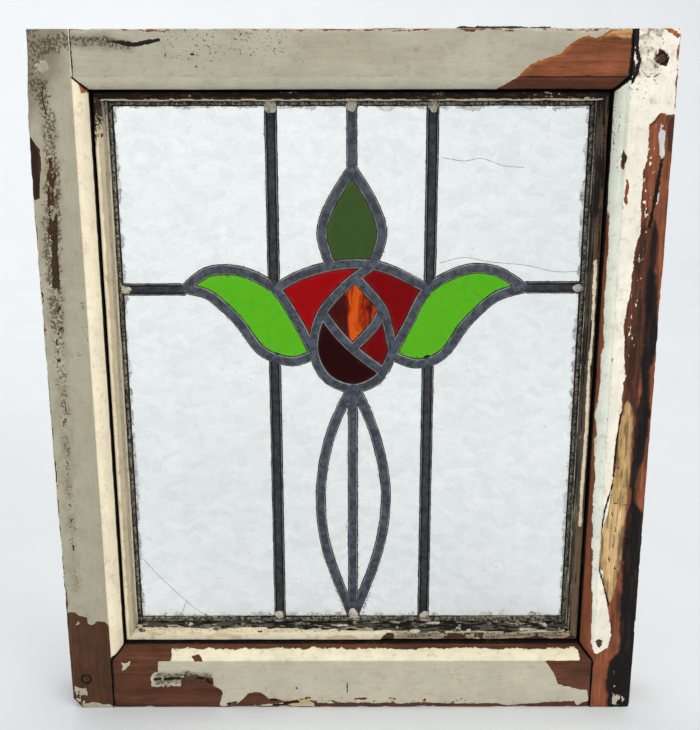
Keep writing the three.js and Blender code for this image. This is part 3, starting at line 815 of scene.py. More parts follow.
    worn = face & (shape < 0) & (coat.z > 60)
    coat.timber = blend_colour(coat.timber, shade(58, 38, 30), np.where(
        worn, np.clip(streaks * 2.0, 0, 0.65), 0))
    flecks = coat.noise(coat.grain_cell(1.3, 5)) * 2.2 - 1.55
    coat.lay(worn & (shape > -9) & (coat.z > 320), np.maximum( coat.paint, np.minimum(flecks, 0.5)))
    crust = np.clip(coat.noise(5, 4) + 0.15, 0, 1) * smooth(585, 602, coat.z)
    crust = crust * (1 - smooth(252, 262, coat.x)) * smooth(235, 239, coat.x)
    coat.height += np.where(face, crust * 1.5, 0)
    coat.stain(shade(176, 150, 120), crust * 0.95, face)
    pits = smooth(0.22, 0.5, coat.noise(3.2, 3)) * smooth(594, 604, coat.z)
    pits = pits * (1 - smooth(254, 264, coat.x)) * smooth(238, 241, coat.x)
    coat.stain(shade(118, 92, 72), pits * 0.75, face)
    # Painted shade: a darker line along the moulding's step by the arris, in the upper part of the
    # stile.
    dark_line = np.exp(-((inside - 1.4) / 0.45) ** 2) * smooth(470, 520, coat.z)
    coat.stain(shade(150, 150, 134), dark_line * 0.55, moulding)
    coat.specks(0.62 * smooth(470, 540, coat.z), where=moulding & (inside > 5))
    coat.mark([(236.4, 633), (237, 615), (239.6, 606), (238.6, 598), (235, 590)], 1.6, 1.0,
              dig=0.8)


def bottom_rail(coat):
    coat.timber[:] = shade(98, 60, 42)
    coat.tint[:] = shade(197, 190, 169)
    film = [(-187, 49.5), (-188, 39), (-195, 36), (-196, 23), (-165, 23), (-165, 31), (-153, 37),
            (-146, 35), (-135, 33), (-134, 24), (-128, 21), (-126, 16), (-128, 10), (-130, 3),
            (-125, 1), (-116, 4), (-111, 5), (-104, 13), (-95, 17.5), (-88, 16), (-81, 9),
            (-73, 9.5), (-65, 6.5), (-50, 8.5), (-44, 5), (-30, 5), (20, 5),
            (70, 5), (127, 4), (144, 5), (154, 2), (165, 3), (184, 5), (201, 6), (219, 6),
            (222, 2), (227, 6), (233, 7), (231, 19), (224, 19), (217, 21), (202, 25), (197, 37),
            (189, 49), (186, 56), (-186, 56)]
    coat.lay(coat.on_face, within(coat.x, coat.z, film) + coat.wobble * 0.7)
    coat.patch([(-223, 49), (-219, 48), (-214, 51), (-216, 46.5), (-218, 44), (-224, 39),
                (-222, 45)])
    coat.flaking([(-60, 14), (130, 12), (130, -2), (-60, -2)], 0.9, cell=1.8)
    coat.flaking([(-196, 39), (-138, 39), (-138, 20), (-196, 20)], 1.2, cell=1.6)
    worn = within(coat.x, coat.z, [(-190, 39), (-160, 41), (-136, 37), (-134, 22), (-160, 23),
                                   (-194, 25)])
    coat.stain(shade(128, 122, 108), smooth(-3, 4, worn + coat.wobble * 2.5) * 0.75, coat.on_face)
    coat.specks(smooth(-3, 3, worn + coat.wobble * 2) * 0.93)
    for line in ([(-191, 31), (-186, 31.5)], [(-182, 31), (-168, 32.2)], [(-150, 32.5), (-145, 32)],
                 [(-141, 30), (-137, 27)]):
        coat.mark(line, 1.5, 1.0, dig=0.5, soft=1.2)
    coat.bare([(-166, 33), (-150, 36), (-142, 33), (-142, 22), (-166, 22)])
    coat.patch([(-150, 37.5), (-137, 37), (-136, 34), (-148, 34.5)])
    coat.patch([(-96, 2), (-60, 6), (-44, 9), (-36, 4), (-36, 1)])
    tan_stain = within(coat.x, coat.z, [(-86, 7), (-62, 9), (-42, 10), (-34, 5), (-60, 2)])
    coat.stain(shade(190, 158, 108), smooth(-2, 2, tan_stain + coat.wobble) * 0.8, coat.on_face)
    for line in ([(-80, 8.5), (-74, 8.5)], [(-66, 5), (-52, 6.5)], [(-121, 4), (-112, 6)],
                 [(-76, 3), (-62, 2.4)]):
        coat.mark(line, 1.4, 0.9, dig=0.5, soft=1.2)
    coat.bare([(-111, 5), (-100, 16.5), (-88, 16.5), (-80, 9), (-84, 4), (-100, 2)])
    coat.mark([(-54, 22), (-53, 21)], 1.0, 0.8)
    coat.mark([(-4, 27), (-4, 17)], 0.8, 0.8)
    for outline in ([(-73, 53), (-61, 53), (-66, 50.3)], [(-50, 53), (-37, 53), (-43, 50)]):
        coat.dye("tint", CREAM, outline, soft=0.6)
    coat.timber = blend_colour(coat.timber, DARK_TIMBER,
                               smooth(0.1, 0.8, coat.noise(coat.grain_cell(8, 60))) * 0.6)
    moulding = coat.on_moulding & (coat.deep <= MOULDING_DEEP + 1)
    coat.tint = np.where(moulding[..., None], shade(244, 234, 203), coat.tint)
    inside = coat.inward - FACE["bottom"]
    edge = np.minimum(coat.x + 177, 220 - coat.x) + coat.noise(9) * 4
    edge = np.minimum(edge, 7.4 - inside + coat.noise((9, 9, 9)) * 0.8)
    coat.lay(moulding, np.minimum(edge, 4))
    coat.bare([(-155, 54), (-148, 55), (-144, 50), (-152, 50)], where=moulding | coat.on_face)
    coat.specks(0.24)
    coat.specks(0.5 * (1 - smooth(6, 16, coat.z)))


# ---------------------------------------------------------------- shader groups

class Wiring:
    """Short hand for adding and joining nodes in one tree."""

    def __init__(self, tree):
        self.tree = tree

    def add(self, kind, **settings):
        node = self.tree.nodes.new(kind)
        for name, value in settings.items():
            setattr(node, name, value)
        return node

    def join(self, source, target):
        self.tree.links.new(source, target)

    def feed(self, node, values):
        for key, value in values.items():
            socket = node.inputs[key]
            if isinstance(value, bpy.types.NodeSocket):
                self.join(value, socket)
            else:
                socket.default_value = value

    def sums(self, operation, a, b=None, clamp=False):
        node = self.add("ShaderNodeMath", operation=operation, use_clamp=clamp)
        self.feed(node, {0: a} if b is None else {0: a, 1: b})
        return node.outputs[0]

    def plus(self, a, b, clamp=False):
        return self.sums("ADD", a, b, clamp)

    def less(self, a, b):
        return self.sums("SUBTRACT", a, b)

    def times(self, a, b):
        return self.sums("MULTIPLY", a, b)

    def mix(self, share, a, b, blend="MIX"):
        node = self.add("ShaderNodeMix", data_type="RGBA", blend_type=blend)
        self.feed(node, {0: share, 6: a, 7: b})
        return node.outputs[2]

    def span(self, value, low, high, to_low=0.0, to_high=1.0):
        node = self.add("ShaderNodeMapRange", interpolation_type="SMOOTHSTEP")
        self.feed(node, {0: value, 1: low, 2: high, 3: to_low, 4: to_high})
        return node.outputs[0]

    def noise(self, place, scale, detail=3.0, roughness=0.55, distortion=0.0):
        node = self.add("ShaderNodeTexNoise")
        self.feed(node, {"Vector": place, "Scale": scale, "Detail": detail,
                         "Roughness": roughness, "Distortion": distortion})
        return node.outputs["Fac"]

    def stretch(self, place, scale):
        node = self.add("ShaderNodeMapping")
        self.feed(node, {"Vector": place, "Scale": scale})
        return node.outputs[0]

    def toned(self, colour, tone):
        """A colour made lighter or darker by a number."""
        grey = self.add("ShaderNodeCombineColor")
        self.feed(grey, {0: tone, 1: tone, 2: tone})
        return self.mix(1.0, colour, grey.outputs[0], "MULTIPLY")

    def vector(self, operation, first, second):
        node = self.add("ShaderNodeVectorMath", operation=operation)
        self.feed(node, {0: first, "Scale" if operation == "SCALE" else 1: second})
        return node.outputs[0]

    def bump(self, body, height, strength, distance):
        node = self.add("ShaderNodeBump")
        self.feed(node, {"Height": height, "Strength": strength, "Distance": distance})
        self.join(node.outputs[0], body.inputs["Normal"])

    def value_of(self, name):
        return self.add("ShaderNodeAttribute", attribute_name=name).outputs["Fac"]

    def colour_of(self, name):
        return self.add("ShaderNodeAttribute", attribute_name=name).outputs["Color"]

    def place(self):
        return self.add("ShaderNodeTexCoord").outputs["Object"]


def shader_group(name, inputs, outputs):
    tree = bpy.data.node_groups.new(name, "ShaderNodeTree")
    for label, kind, value in inputs:
        socket = tree.interface.new_socket(label, in_out="INPUT", socket_type=kind)
        if value is not None:
            socket.default_value = value
    for label, kind in outputs:
        tree.interface.new_socket(label, in_out="OUTPUT", socket_type=kind)
    wires = Wiring(tree)
    enter = wires.add("NodeGroupInput").outputs
    leave = wires.add("NodeGroupOutput").inputs
    return tree, wires, enter, leave


NUMBER, COLOUR, VECTOR = "NodeSocketFloat", "NodeSocketColor", "NodeSocketVector"


def wood_grain_group():
    tree, w, enter, leave = shader_group(
        "Old wood grain",
        [("Place", VECTOR, None), ("Timber", COLOUR, None), ("Stretch", VECTOR, (1, 1, 0.05)),
         ("Contrast", NUMBER, 1.0)],
        [("Colour", COLOUR), ("Height", NUMBER)])
    drawn = w.stretch(enter["Place"], enter["Stretch"])
    fine = w.noise(drawn, 1100, 5, 0.65, 0.4)
    broad = w.noise(drawn, 260, 4, 0.6, 0.8)
    pores = w.span(w.noise(drawn, 2100, 3, 0.6), 0.30, 0.44)
    lines = w.span(fine, 0.30, 0.70, 0.80, 1.14)
    bands = w.span(broad, 0.3, 0.7, 0.80, 1.16)
    cloud = w.span(w.noise(enter["Place"], 55, 5, 0.62), 0.3, 0.7, 0.78, 1.16)
    bands = w.times(bands, cloud)
    tone = w.times(lines, bands)
    tone = w.times(tone, w.span(pores, 0, 1, 0.66, 1.0))
    lowered = w.less(tone, 1.0)
    tone = w.plus(w.times(lowered, enter["Contrast"]), 1.0)
    w.join(w.toned(enter["Timber"], tone), leave["Colour"])
    height = w.times(w.plus(fine, pores), 0.5)
    w.join(height, leave["Height"])
    return tree


def paint_film_group():
    tree, w, enter, leave = shader_group(
        "Old paint film",
        [("Place", VECTOR, None), ("Reach", NUMBER, 1.0), ("Tint", COLOUR, None),
         ("Streaks", VECTOR, (1, 1, 0.1)), ("Age", NUMBER, 1.0)],
        [("Colour", COLOUR), ("Mask", NUMBER), ("Height", NUMBER), ("Rim", NUMBER)])
    ragged = w.noise(enter["Place"], 300, 5, 0.72)
    finer = w.noise(enter["Place"], 1400, 2, 0.6)
    wander = w.times(w.less(ragged, 0.5), 3.4)
    wander = w.plus(wander, w.times(w.less(finer, 0.5), 0.7))
    reach = w.plus(enter["Reach"], wander)
    mask = w.span(reach, -0.06, 0.06)
    rim = w.times(w.span(reach, 0.0, 0.55, 1.0, 0.0), mask)
    drawn = w.stretch(enter["Place"], enter["Streaks"])
    brushed = w.noise(drawn, 520, 4, 0.6)
    mottled = w.noise(enter["Place"], 38, 5, 0.62)
    stain = w.span(w.noise(enter["Place"], 120, 6, 0.74), 0.50, 0.74)
    tone = w.times(w.span(brushed, 0.3, 0.7, 0.95, 1.035),
                   w.span(mottled, 0.32, 0.68, 0.93, 1.045))
    colour = w.toned(enter["Tint"], tone)
    stain = w.times(w.times(stain, enter["Age"]), 0.42)
    colour = w.mix(stain, colour, solid(150, 128, 98))
    colour = w.mix(w.times(rim, 0.55), colour, solid(238, 226, 190))
    w.join(colour, leave["Colour"])
    w.join(mask, leave["Mask"])
    w.join(rim, leave["Rim"])
    height = w.plus(w.times(mask, 0.8), w.times(brushed, 0.16))
    w.join(height, leave["Height"])
    return tree


def dirt_and_shade_group():
    tree, w, enter, leave = shader_group(
        "Soot, shade and specks",
        [("Place", VECTOR, None), ("Under", COLOUR, None), ("Soil", NUMBER, 0.0),
         ("Density", NUMBER, 0.3), ("Specks", NUMBER, 0.4),
         ("Dirt", COLOUR, solid(30, 26, 22)), ("Spot", COLOUR, solid(70, 55, 40))],
        [("Colour", COLOUR), ("Mask", NUMBER)])
    # The soil value is dirt, and in gaps and corners painted shade as well; both turn to the dark
    # dirt colour.
    broken = w.noise(enter["Place"], 620, 5, 0.75)
    soil = w.less(enter["Soil"], w.times(broken, 0.95))
    soil = w.span(soil, -0.06, 0.16)
    clusters = w.noise(enter["Place"], 110, 4, 0.7)
    small = w.noise(enter["Place"], 400, 5, 0.66)
    size = w.times(w.less(clusters, 0.5), 0.30)
    limit = w.span(enter["Density"], 0.0, 1.0, 0.80, 0.47)
    speck = w.less(w.plus(small, size), limit)
    speck = w.times(w.span(speck, 0.0, 0.035), enter["Specks"])
    mask = w.sums("MAXIMUM", soil, speck)
    spotted = w.mix(speck, enter["Under"], enter["Spot"])
    w.join(w.mix(soil, spotted, enter["Dirt"]), leave["Colour"])
    w.join(mask, leave["Mask"])
    return tree


WOOD_GRAIN = wood_grain_group()
PAINT_FILM = paint_film_group()
DIRT_AND_SHADE = dirt_and_shade_group()


# ---------------------------------------------------------------- materials

def new_finish(name):
    finish = bpy.data.materials.new(name)
    finish.use_nodes = True
    finish.node_tree.nodes.clear()
    wires = Wiring(finish.node_tree)
    output = wires.add("ShaderNodeOutputMaterial")
    body = wires.add("ShaderNodeBsdfPrincipled")
    wires.join(body.outputs[0], output.inputs["Surface"])
    return finish, wires, body


def use_group(wires, tree, **values):
    node = wires.add("ShaderNodeGroup", node_tree=tree)
    wires.feed(node, {key.replace("_", " "): value for key, value in values.items()})
    return node


def painted_timber_finish(name, upright, specks=0.5, age=1.0):
    finish, w, body = new_finish(name)
    place = w.place()
    along = (1, 1, 0.045) if upright else (0.045, 1, 1)
    streaks = (1, 1, 0.1) if upright else (0.1, 1, 1)
    wood = use_group(w, WOOD_GRAIN, Place=place, Timber=w.colour_of("timber"), Stretch=along,
                     Contrast=0.8)
    paint = use_group(w, PAINT_FILM, Place=place, Reach=w.value_of("paint"),
                      Tint=w.colour_of("tint"), Streaks=streaks, Age=age)
    mask = paint.outputs["Mask"]
    surface = w.mix(mask, wood.outputs["Colour"], paint.outputs["Colour"])
    # This group lays real dirt and the painted shade held in the same values.
    dirt = use_group(w, DIRT_AND_SHADE, Place=place, Under=surface, Soil=w.value_of("grime_and_shade"),
                     Density=w.value_of("speckle"), Specks=specks)
    w.join(dirt.outputs["Colour"], body.inputs["Base Color"])
    roughness = w.span(mask, 0, 1, 0.74, 0.5)
    roughness = w.plus(roughness, w.times(dirt.outputs["Mask"], 0.2), True)
    w.join(roughness, body.inputs["Roughness"])
    height = w.plus(w.times(wood.outputs["Height"], w.span(mask, 0, 1, 0.85, 0.12)),
                    paint.outputs["Height"])
    body.inputs["Specular IOR Level"].default_value = 0.16
    w.bump(body, height, 0.8, 0.00055)
    return finish


def lead_finish(name, tone, lip_tone, groove, sheen_rough=0.42, metal=0.55):
    finish, w, body = new_finish(name)
    place = w.place()
    across = w.sums("ABSOLUTE", w.value_of("across"))
    cloud = w.noise(place, 130, 5, 0.65)
    fine = w.noise(place, 1100, 4, 0.7)
    tone_share = w.span(w.plus(w.times(cloud, 0.5), w.times(w.noise(place, 330, 5, 0.7), 0.5)),
                        0.43, 0.58)
    colour = w.mix(tone_share, (*tone, 1), (*[c * 2.3 + 0.012 for c in tone], 1))
    spots = w.span(fine, 0.60, 0.74)
    colour = w.mix(w.times(spots, 0.45), colour, solid(158, 158, 154))
    pits = w.span(fine, 0.24, 0.36, 1.0, 0.0)
    colour = w.mix(w.times(pits, 0.6), colour, solid(18, 20, 24))
    wander = w.times(w.less(w.noise(place, 260, 4, 0.7), 0.5), 0.22)
    lane = w.plus(across, wander)
    # Painted shade: the grooves beside the flat came's middle band are painted near black.
    if groove:
        dark = w.times(w.span(lane, 0.56, 0.66), w.span(lane, 0.76, 0.84, 1, 0))
        colour = w.mix(dark, colour, solid(14, 15, 18))
    # The pale line along the came's edges stands partly for cement at the edge and partly for a
    # painted highlight on the lip.
    lip = w.times(w.span(lane, 0.80, 0.90), w.span(fine, 0.26, 0.46))
    lip = w.times(lip, w.span(w.noise(place, 90, 3, 0.6), 0.34, 0.56, 0.25, 1.0))
    colour = w.mix(w.times(lip, 0.85), colour, (*lip_tone, 1))
    w.join(colour, body.inputs["Base Color"])
    w.join(w.span(cloud, 0.3, 0.7, sheen_rough, sheen_rough + 0.22), body.inputs["Roughness"])
    body.inputs["Metallic"].default_value = metal
    height = w.plus(w.noise(place, 420, 5, 0.65), w.times(fine, 0.4))
    w.bump(body, height, 0.65, 0.0003)
    return finish


def crumbly_finish(name, pale, dark, share=0.5, scale=260, rough_value=0.85):
    """Putty, cement, solder dross and dirt: two tones broken by noise."""
    finish, w, body = new_finish(name)
    place = w.place()
    cloud = w.noise(place, scale, 5, 0.7)
    fine = w.noise(place, scale * 5, 3, 0.6)
    both = w.plus(w.times(cloud, 0.7), w.times(fine, 0.3))
    split = w.span(both, share - 0.07, share + 0.07)
    colour = w.mix(split, (*dark, 1), (*pale, 1))
    w.join(colour, body.inputs["Base Color"])
    body.inputs["Roughness"].default_value = rough_value
    w.bump(body, both, 0.8, 0.0005)
    return finish


def glass_finish(name, colour, crease=0.12, second=None, dust=(0.62, 0.60, 0.52), index=1.45,
                 crinkle=0.0):
    """Cathedral glass that lets the lamps through; creases and dust come from the surface, and the
    creases and crumple facets carry painted shade.
    """
    haze = 0.5 if crinkle else 0.12
    finish, w, body = new_finish(name)
    place = w.place()
    base = (*colour, 1)
    if second:
        cut = w.add("ShaderNodeSeparateXYZ")
        w.join(place, cut.inputs[0])
        swirl = w.noise(w.stretch(place, (1.0, 1.0, 0.22)), 110, 4, 0.55, 1.2)
        rise = w.span(cut.outputs[0], -0.014, 0.004, -0.17, 0.11)
        fall = w.span(cut.outputs[0], 0.007, 0.017, 0.0, -0.10)
        swirl = w.plus(swirl, w.plus(rise, fall))
        base = w.mix(w.span(swirl, 0.40, 0.56), base, (*second[0], 1))
        hot = w.span(swirl, 0.53, 0.63)
        base = w.mix(w.times(hot, 0.85), base, (*second[1], 1))
    fold = w.value_of("crease")
    cloud = w.noise(place, 34, 5, 0.6)
    shadow = w.times(w.span(fold, 0.0, 1.0), crease)
    toned = w.mix(shadow, base, tuple(c * 0.5 for c in colour) + (1,))
    toned = w.mix(w.span(cloud, 0.35, 0.7, 0.0, 0.10), toned, tuple(c * 0.82 for c in colour) + (1,))
    specks = w.add("ShaderNodeTexVoronoi")
    w.feed(specks, {"Vector": place, "Scale": 85.0})
    limit = w.span(w.noise(place, 26, 3, 0.6), 0.46, 0.72, 0.0, 0.10)
    speck = w.span(w.less(limit, specks.outputs["Distance"]), -0.005, 0.025)
    toned = w.mix(w.times(speck, 0.7), toned, (*[c * 0.5 for c in dust], 1))
    film = w.value_of("dust")
    toned = w.mix(w.times(film, haze), toned, (*dust, 1))
    gritty = w.noise(place, 520, 5, 0.78)
    grit = w.span(w.less(film, gritty), -0.06, 0.05)
    muck = w.mix(w.span(w.noise(place, 150, 3, 0.6), 0.47, 0.60), solid(48, 42, 33),
                 solid(138, 131, 106))
    toned = w.mix(w.times(grit, 0.94), toned, muck)
    height = w.noise(place, 160, 4, 0.5)
    if crinkle:
        bent = w.add("ShaderNodeVectorMath", operation="MULTIPLY_ADD")
        drift = w.add("ShaderNodeTexNoise")
        w.feed(drift, {"Vector": place, "Scale": 70.0, "Detail": 2.0})
        w.feed(bent, {0: drift.outputs["Color"], 1: (0.022, 0.022, 0.022), 2: place})
        folds = w.add("ShaderNodeTexVoronoi", feature="DISTANCE_TO_EDGE")
        lie = w.stretch(bent.outputs[0], (0.8, 0.3, 1.35))
        w.feed(folds, {"Vector": lie, "Scale": 92.0})
        shown = w.span(w.noise(place, 120, 3, 0.6), 0.40, 0.60)
        # Painted shade on the crumple: each facet is darkened by its own amount as if tilted from
        # the light, darker beside the folds and left clear right on them.
        ridge = w.times(w.span(folds.outputs["Distance"], 0.02, 0.10, 1.0, 0.0), shown)
        shaded = w.times(w.span(folds.outputs["Distance"], 0.08, 0.22, 0.6, 0.0), shown)
        facets = w.add("ShaderNodeTexVoronoi", feature="F1")
        w.feed(facets, {"Vector": lie, "Scale": 92.0})
        tones = w.add("ShaderNodeSeparateColor")
        w.join(facets.outputs["Color"], tones.inputs[0])
        tilted = w.span(tones.outputs[0], 0.0, 1.0, 0.0, crinkle * 0.85)
        tilted = w.sums("MAXIMUM", tilted, shaded)
        tilted = w.times(tilted, w.less(1.0, ridge))
        toned = w.mix(tilted, toned, (0.80, 0.82, 0.81, 1))
        height = w.plus(height, w.times(folds.outputs["Distance"], 1.4))
    w.join(toned, body.inputs["Base Color"])
    w.feed(body, {"Roughness": 0.03, "IOR": index, "Transmission Weight": 1.0})
    w.bump(body, height, 0.5, 0.0005)
    output = finish.node_tree.nodes["Material Output"]
    path = w.add("ShaderNodeLightPath")
    clear = w.add("ShaderNodeBsdfTransparent")
    clear.inputs[0].default_value = (*[min(c * 1.05, 1.0) for c in colour], 1)
    both = w.add("ShaderNodeMixShader")
    w.join(path.outputs["Is Shadow Ray"], both.inputs[0])
    w.join(body.outputs[0], both.inputs[1])
    w.join(clear.outputs[0], both.inputs[2])
    w.join(both.outputs[0], output.inputs["Surface"])
    return finish


# ---------------------------------------------------------------- stiles, rails and beads

upright_timber = painted_timber_finish("painted_upright", True, specks=0.75)
level_timber = painted_timber_finish("painted_rail", False, specks=0.75)
upright_bead = painted_timber_finish("painted_upright_bead", True, specks=0.7, age=1.4)
level_bead = painted_timber_finish("painted_level_bead", False, specks=0.7, age=1.4)


def finish_coated(coat, name, build, nodes, finish):
    settle_relief(coat)
    vertices, faces, used = build(coat.height)
    piece = make_piece(name, vertices, faces, nodes, finish)
    keep_value(piece, "paint", np.clip(coat.paint, -4, 4).reshape(-1)[used])
    keep_value(piece, "grime_and_shade", np.clip(coat.grime_and_shade, 0, 1).reshape(-1)[used])
    keep_value(piece, "speckle", np.clip(coat.speckle, 0, 1).reshape(-1)[used])
    keep_colour(piece, "tint", np.clip(coat.tint, 0, 1).reshape(-1, 3)[used])
    keep_colour(piece, "timber", np.clip(coat.timber, 0, 1).reshape(-1, 3)[used])
    return piece


def member(side, ages, seed):
    arris = FACE[side]
    if side in ("left", "right"):
        whole, finish = (0.0, SASH_HEIGHT), upright_timber
    else:
        whole, finish = (ARRIS_LEFT + 0.3, ARRIS_RIGHT - 0.3), level_timber
    grid, build = bar(side, member_section(arris), arris, whole, 1.25)
    if side == "left":
        # The top of this stile's outer edge has been rubbed away.
        lost = 4.3 * smooth(548, 628, grid["along"]) + 0.9 * smooth(500, 560, grid["along"])
        grid["inward"] += lost * np.clip(1 - grid["inward"] / arris, 0, 1)
        # The foot's outer corner is broken off on the slant.
        slant = (9.5 - grid["inward"]) * 1.15
        grid["along"][...] = np.where(grid["inward"] < 9.5, np.maximum(grid["along"], slant),
                                      grid["along"])
    coat = Coat(side, grid, seed)
    if side == "left":
        coat.on_edge = (np.abs(coat.inward - coat.inward.min(1, keepdims=True)) < 0.4) \
            & (coat.deep > 1.9)
    ages(coat)
    common_wear(coat)
    dark_joints(coat)
    if side in ("left", "right"):
        peg_seats(coat, [spot for name, spot in PEGS.items() if side in name])
        tenon_ends(coat)
    name = {"left": "stile_left", "right": "stile_right", "top": "rail_top",
            "bottom": "rail_bottom"}[side]
    finish_coated(coat, f"weathered_{name}", build, [name], finish)


member("left", left_stile, 11)
member("right", right_stile, 12)
member("top", top_rail, 13)
member("bottom", bottom_rail, 14)


def bead_piece(side, seed):
    grid, build = bar(side, bead_section(FACE[side]), FACE[side], None, 1.3)
    coat = Coat(side, grid, seed)
    inner = FACE[side] + SIGHT
    nose = coat.deep < BEAD_FRONT + 1.2
    flank = (coat.inward > inner - 0.3) & ~nose
    gap = (coat.inward < inner - 5) & ~nose
    coat.tint[:] = shade(232, 222, 194)
    coat.timber[:] = shade(86, 62, 46)
    # Painted shade: the bead's faces back in the gap beside the frame are darkened.
    coat.grime_and_shade = np.where(gap, 0.9, 0.0)
    run_noise = coat.noise(coat.grain_cell(4, 34))
    fine = coat.noise(coat.grain_cell(2, 7))
    depth_in = coat.deep - BEAD_FRONT
    if side == "left":
        rolled = coat.inward - FACE[side] - SIGHT + 8.0
        coat.tint[:] = shade(255, 238, 206)
        coat.paint = np.where(nose, np.minimum(2.2, (rolled + 0.4) * 1.5) + fine * 1.2,
                              3.4 - depth_in * 0.10 + run_noise * 2.2)
        side_tone = smooth(3.2, 4.8, rolled + fine * 0.8)
        tan_side = blend_colour(coat.tint, shade(196, 182, 152), np.ones(coat.x.shape))
        tan_side = blend_colour(tan_side, shade(148, 132, 104), smooth(0.0, 0.8, run_noise) * 0.8)
        coat.stain(shade(196, 182, 152), side_tone * nose)
        coat.tint = np.where(flank[..., None], tan_side, coat.tint)
        back_line = np.exp(-((depth_in - 17.0 + fine * 0.8) / 2.4) ** 2)
        coat.stain(shade(250, 236, 206), back_line, flank)
        coat.lay(flank & (back_line > 0.4), 2.0 + fine)
        coat.timber = np.where(flank[..., None], np.array(shade(96, 80, 62)), coat.timber)
        coat.timber = np.where((nose & (rolled < 1.4))[..., None], np.array(shade(112, 62, 34)),
                               coat.timber)
        coat.soot_and_shade(smooth(19.5, 23, depth_in + run_noise * 2) * 0.9, flank)
        top = smooth(500, 570, coat.z + run_noise * 20)
        coat.soot_and_shade(top * 0.55 + fine * 0.2, flank | nose)
        coat.lay(nose, np.minimum(coat.paint, (560 - coat.z) * 0.05 + fine * 2))
    elif side == "right":
        coat.paint = np.full(coat.x.shape, -2.5)
        sliver = off_line(coat.x, coat.z, [(218.6, 437), (219.4, 380), (218.8, 330), (219.6, 280),
                                           (218.8, 225), (219.2, 184)])
        coat.lay(nose, 1.5 - sliver + fine * 0.5)
        coat.timber[:] = shade(92, 72, 56)
        coat.timber = np.where(flank[..., None], np.array(shade(74, 68, 60)), coat.timber)
        low = 1 - smooth(120, 260, coat.z)
        coat.timber = blend_colour(coat.timber, shade(128, 108, 84), low * 0.6)
        streak = coat.noise(coat.grain_cell(1.6, 26), 4)
        high = smooth(430, 520, coat.z)
        coat.soot_and_shade(0.42 * high + 0.2 + streak * 0.7, nose)
        coat.soot_and_shade(0.55 + streak * 0.6, flank)
        coat.timber = np.where(flank[..., None], blend_colour(
            coat.timber, shade(112, 106, 92), smooth(-0.1, 0.5, coat.noise(
                coat.grain_cell(1.4, 30), 4))), coat.timber)
        coat.lay(flank, run_noise * 2.0 - 1.5 + low * 1.2)
        back_line = np.exp(-((depth_in - 18.5 + fine) / 1.3) ** 2)
        coat.lay(flank & (back_line > 0.5), 0.8 + fine * 1.6)
        coat.tint = np.where(flank[..., None], np.array(shade(196, 188, 164)), coat.tint)
        coat.grime_and_shade = np.where(flank & (back_line > 0.5), 0.1, coat.grime_and_shade)
    elif side == "top":
        rolled = coat.inward - FACE[side] - SIGHT + 8.0
        coat.paint = np.where(nose, run_noise * 2.4 - 1.1, run_noise * 2 - 1.5)
        last_line = np.exp(-((rolled - 7.4 + fine * 0.4) / 0.7) ** 2) * nose
        coat.lay(last_line > 0.5, 0.9 + fine)
        coat.tint[:] = shade(190, 174, 146)
        coat.timber[:] = shade(58, 46, 37)
        coat.soot_and_shade((0.66 + fine * 0.4) * (1 - last_line * 0.8))
    else:
        cream_end = 31 - coat.x + coat.noise(12) * 7
        coat.paint = np.where(nose, np.minimum(cream_end * 0.7, 1.8 + fine * 1.2), -1.5)
        rolled = coat.inward - inner + 8.0
        patches = [(44, 96), (108, 124), (134, 176), (190, 212)]
        for start, stop in patches:
            mid, half = (start + stop) / 2, (stop - start) / 2
            share = np.minimum((half - np.abs(coat.x - mid)) * 0.6 + run_noise * 7,
                               2.8 - np.abs(rolled - 4.6) * 1.1 + run_noise * 2.5)
            coat.lay(nose, np.maximum(coat.paint, np.minimum(share * 0.4, 0.8)))
        coat.tint = np.where((coat.x > 40)[..., None], np.array(shade(150, 138, 112)), coat.tint)
        coat.timber[:] = shade(78, 54, 43)
        shadowed = smooth(30, 60, coat.x) * (0.22 + 0.3 * smooth(-0.1, 0.5, run_noise))
        coat.soot_and_shade(shadowed, nose)
        coat.timber = np.where(flank[..., None], np.array(shade(92, 88, 80)), coat.timber)
        scraps = coat.noise((16, 4, 5))
        coat.lay(flank, scraps * 2.4 - 0.9)
        coat.tint = np.where(flank[..., None], np.array(shade(196, 184, 160)), coat.tint)
        ledge = np.interp(coat.x, [-190, -100, -60, 10, 60, 110, 200], [9, 10, 8.5, 5, 1.5, 3, 2])
        ledge = ledge - depth_in + coat.noise((9, 3, 3)) * 2.2
        cover = np.where(coat.x < 40 + run_noise * 20, np.minimum(ledge, 2.5) + 0.6,
                         np.minimum(ledge * 0.5, 0.8))
        coat.lay(flank & (ledge > -0.6), np.maximum(coat.paint, cover))
        cream_top = np.where(flank, smooth(-0.5, 1.0, ledge) * (coat.x < 40), 0)
        coat.stain(shade(244, 228, 192), cream_top)
        stain = smooth(0.1, 0.7, coat.noise((14, 5, 5))) * 0.6
        coat.stain(shade(196, 160, 112), stain * nose)
        coat.soot_and_shade((0.60 + coat.noise((9, 3, 4), 4) * 0.75) * (1 - smooth(-0.6, 0.8, ledge)), flank)
        crust = np.maximum(coat.noise((13, 5, 5), 4) + 0.25, 0) * 1.2
        coat.height += np.where(flank & (depth_in > 2) & (depth_in < 23.5), crust, 0)
    coat.speckle = np.where(flank, 0.62, 0.34)
    mouth = np.minimum(coat.along - coat.along.min(), coat.along.max() - coat.along)
    coat.soot_and_shade((1 - smooth(0.5, 3.5, mouth)) * 0.7)
    finish = upright_bead if side in ("left", "right") else level_bead
    finish_coated(coat, f"weathered_bead_{side}", build, [f"bead_{side}"], finish)


for number, bead_side in enumerate(("left", "right", "top", "bottom")):
    bead_piece(bead_side, 21 + number)


# ---------------------------------------------------------------- pegs and the top strip

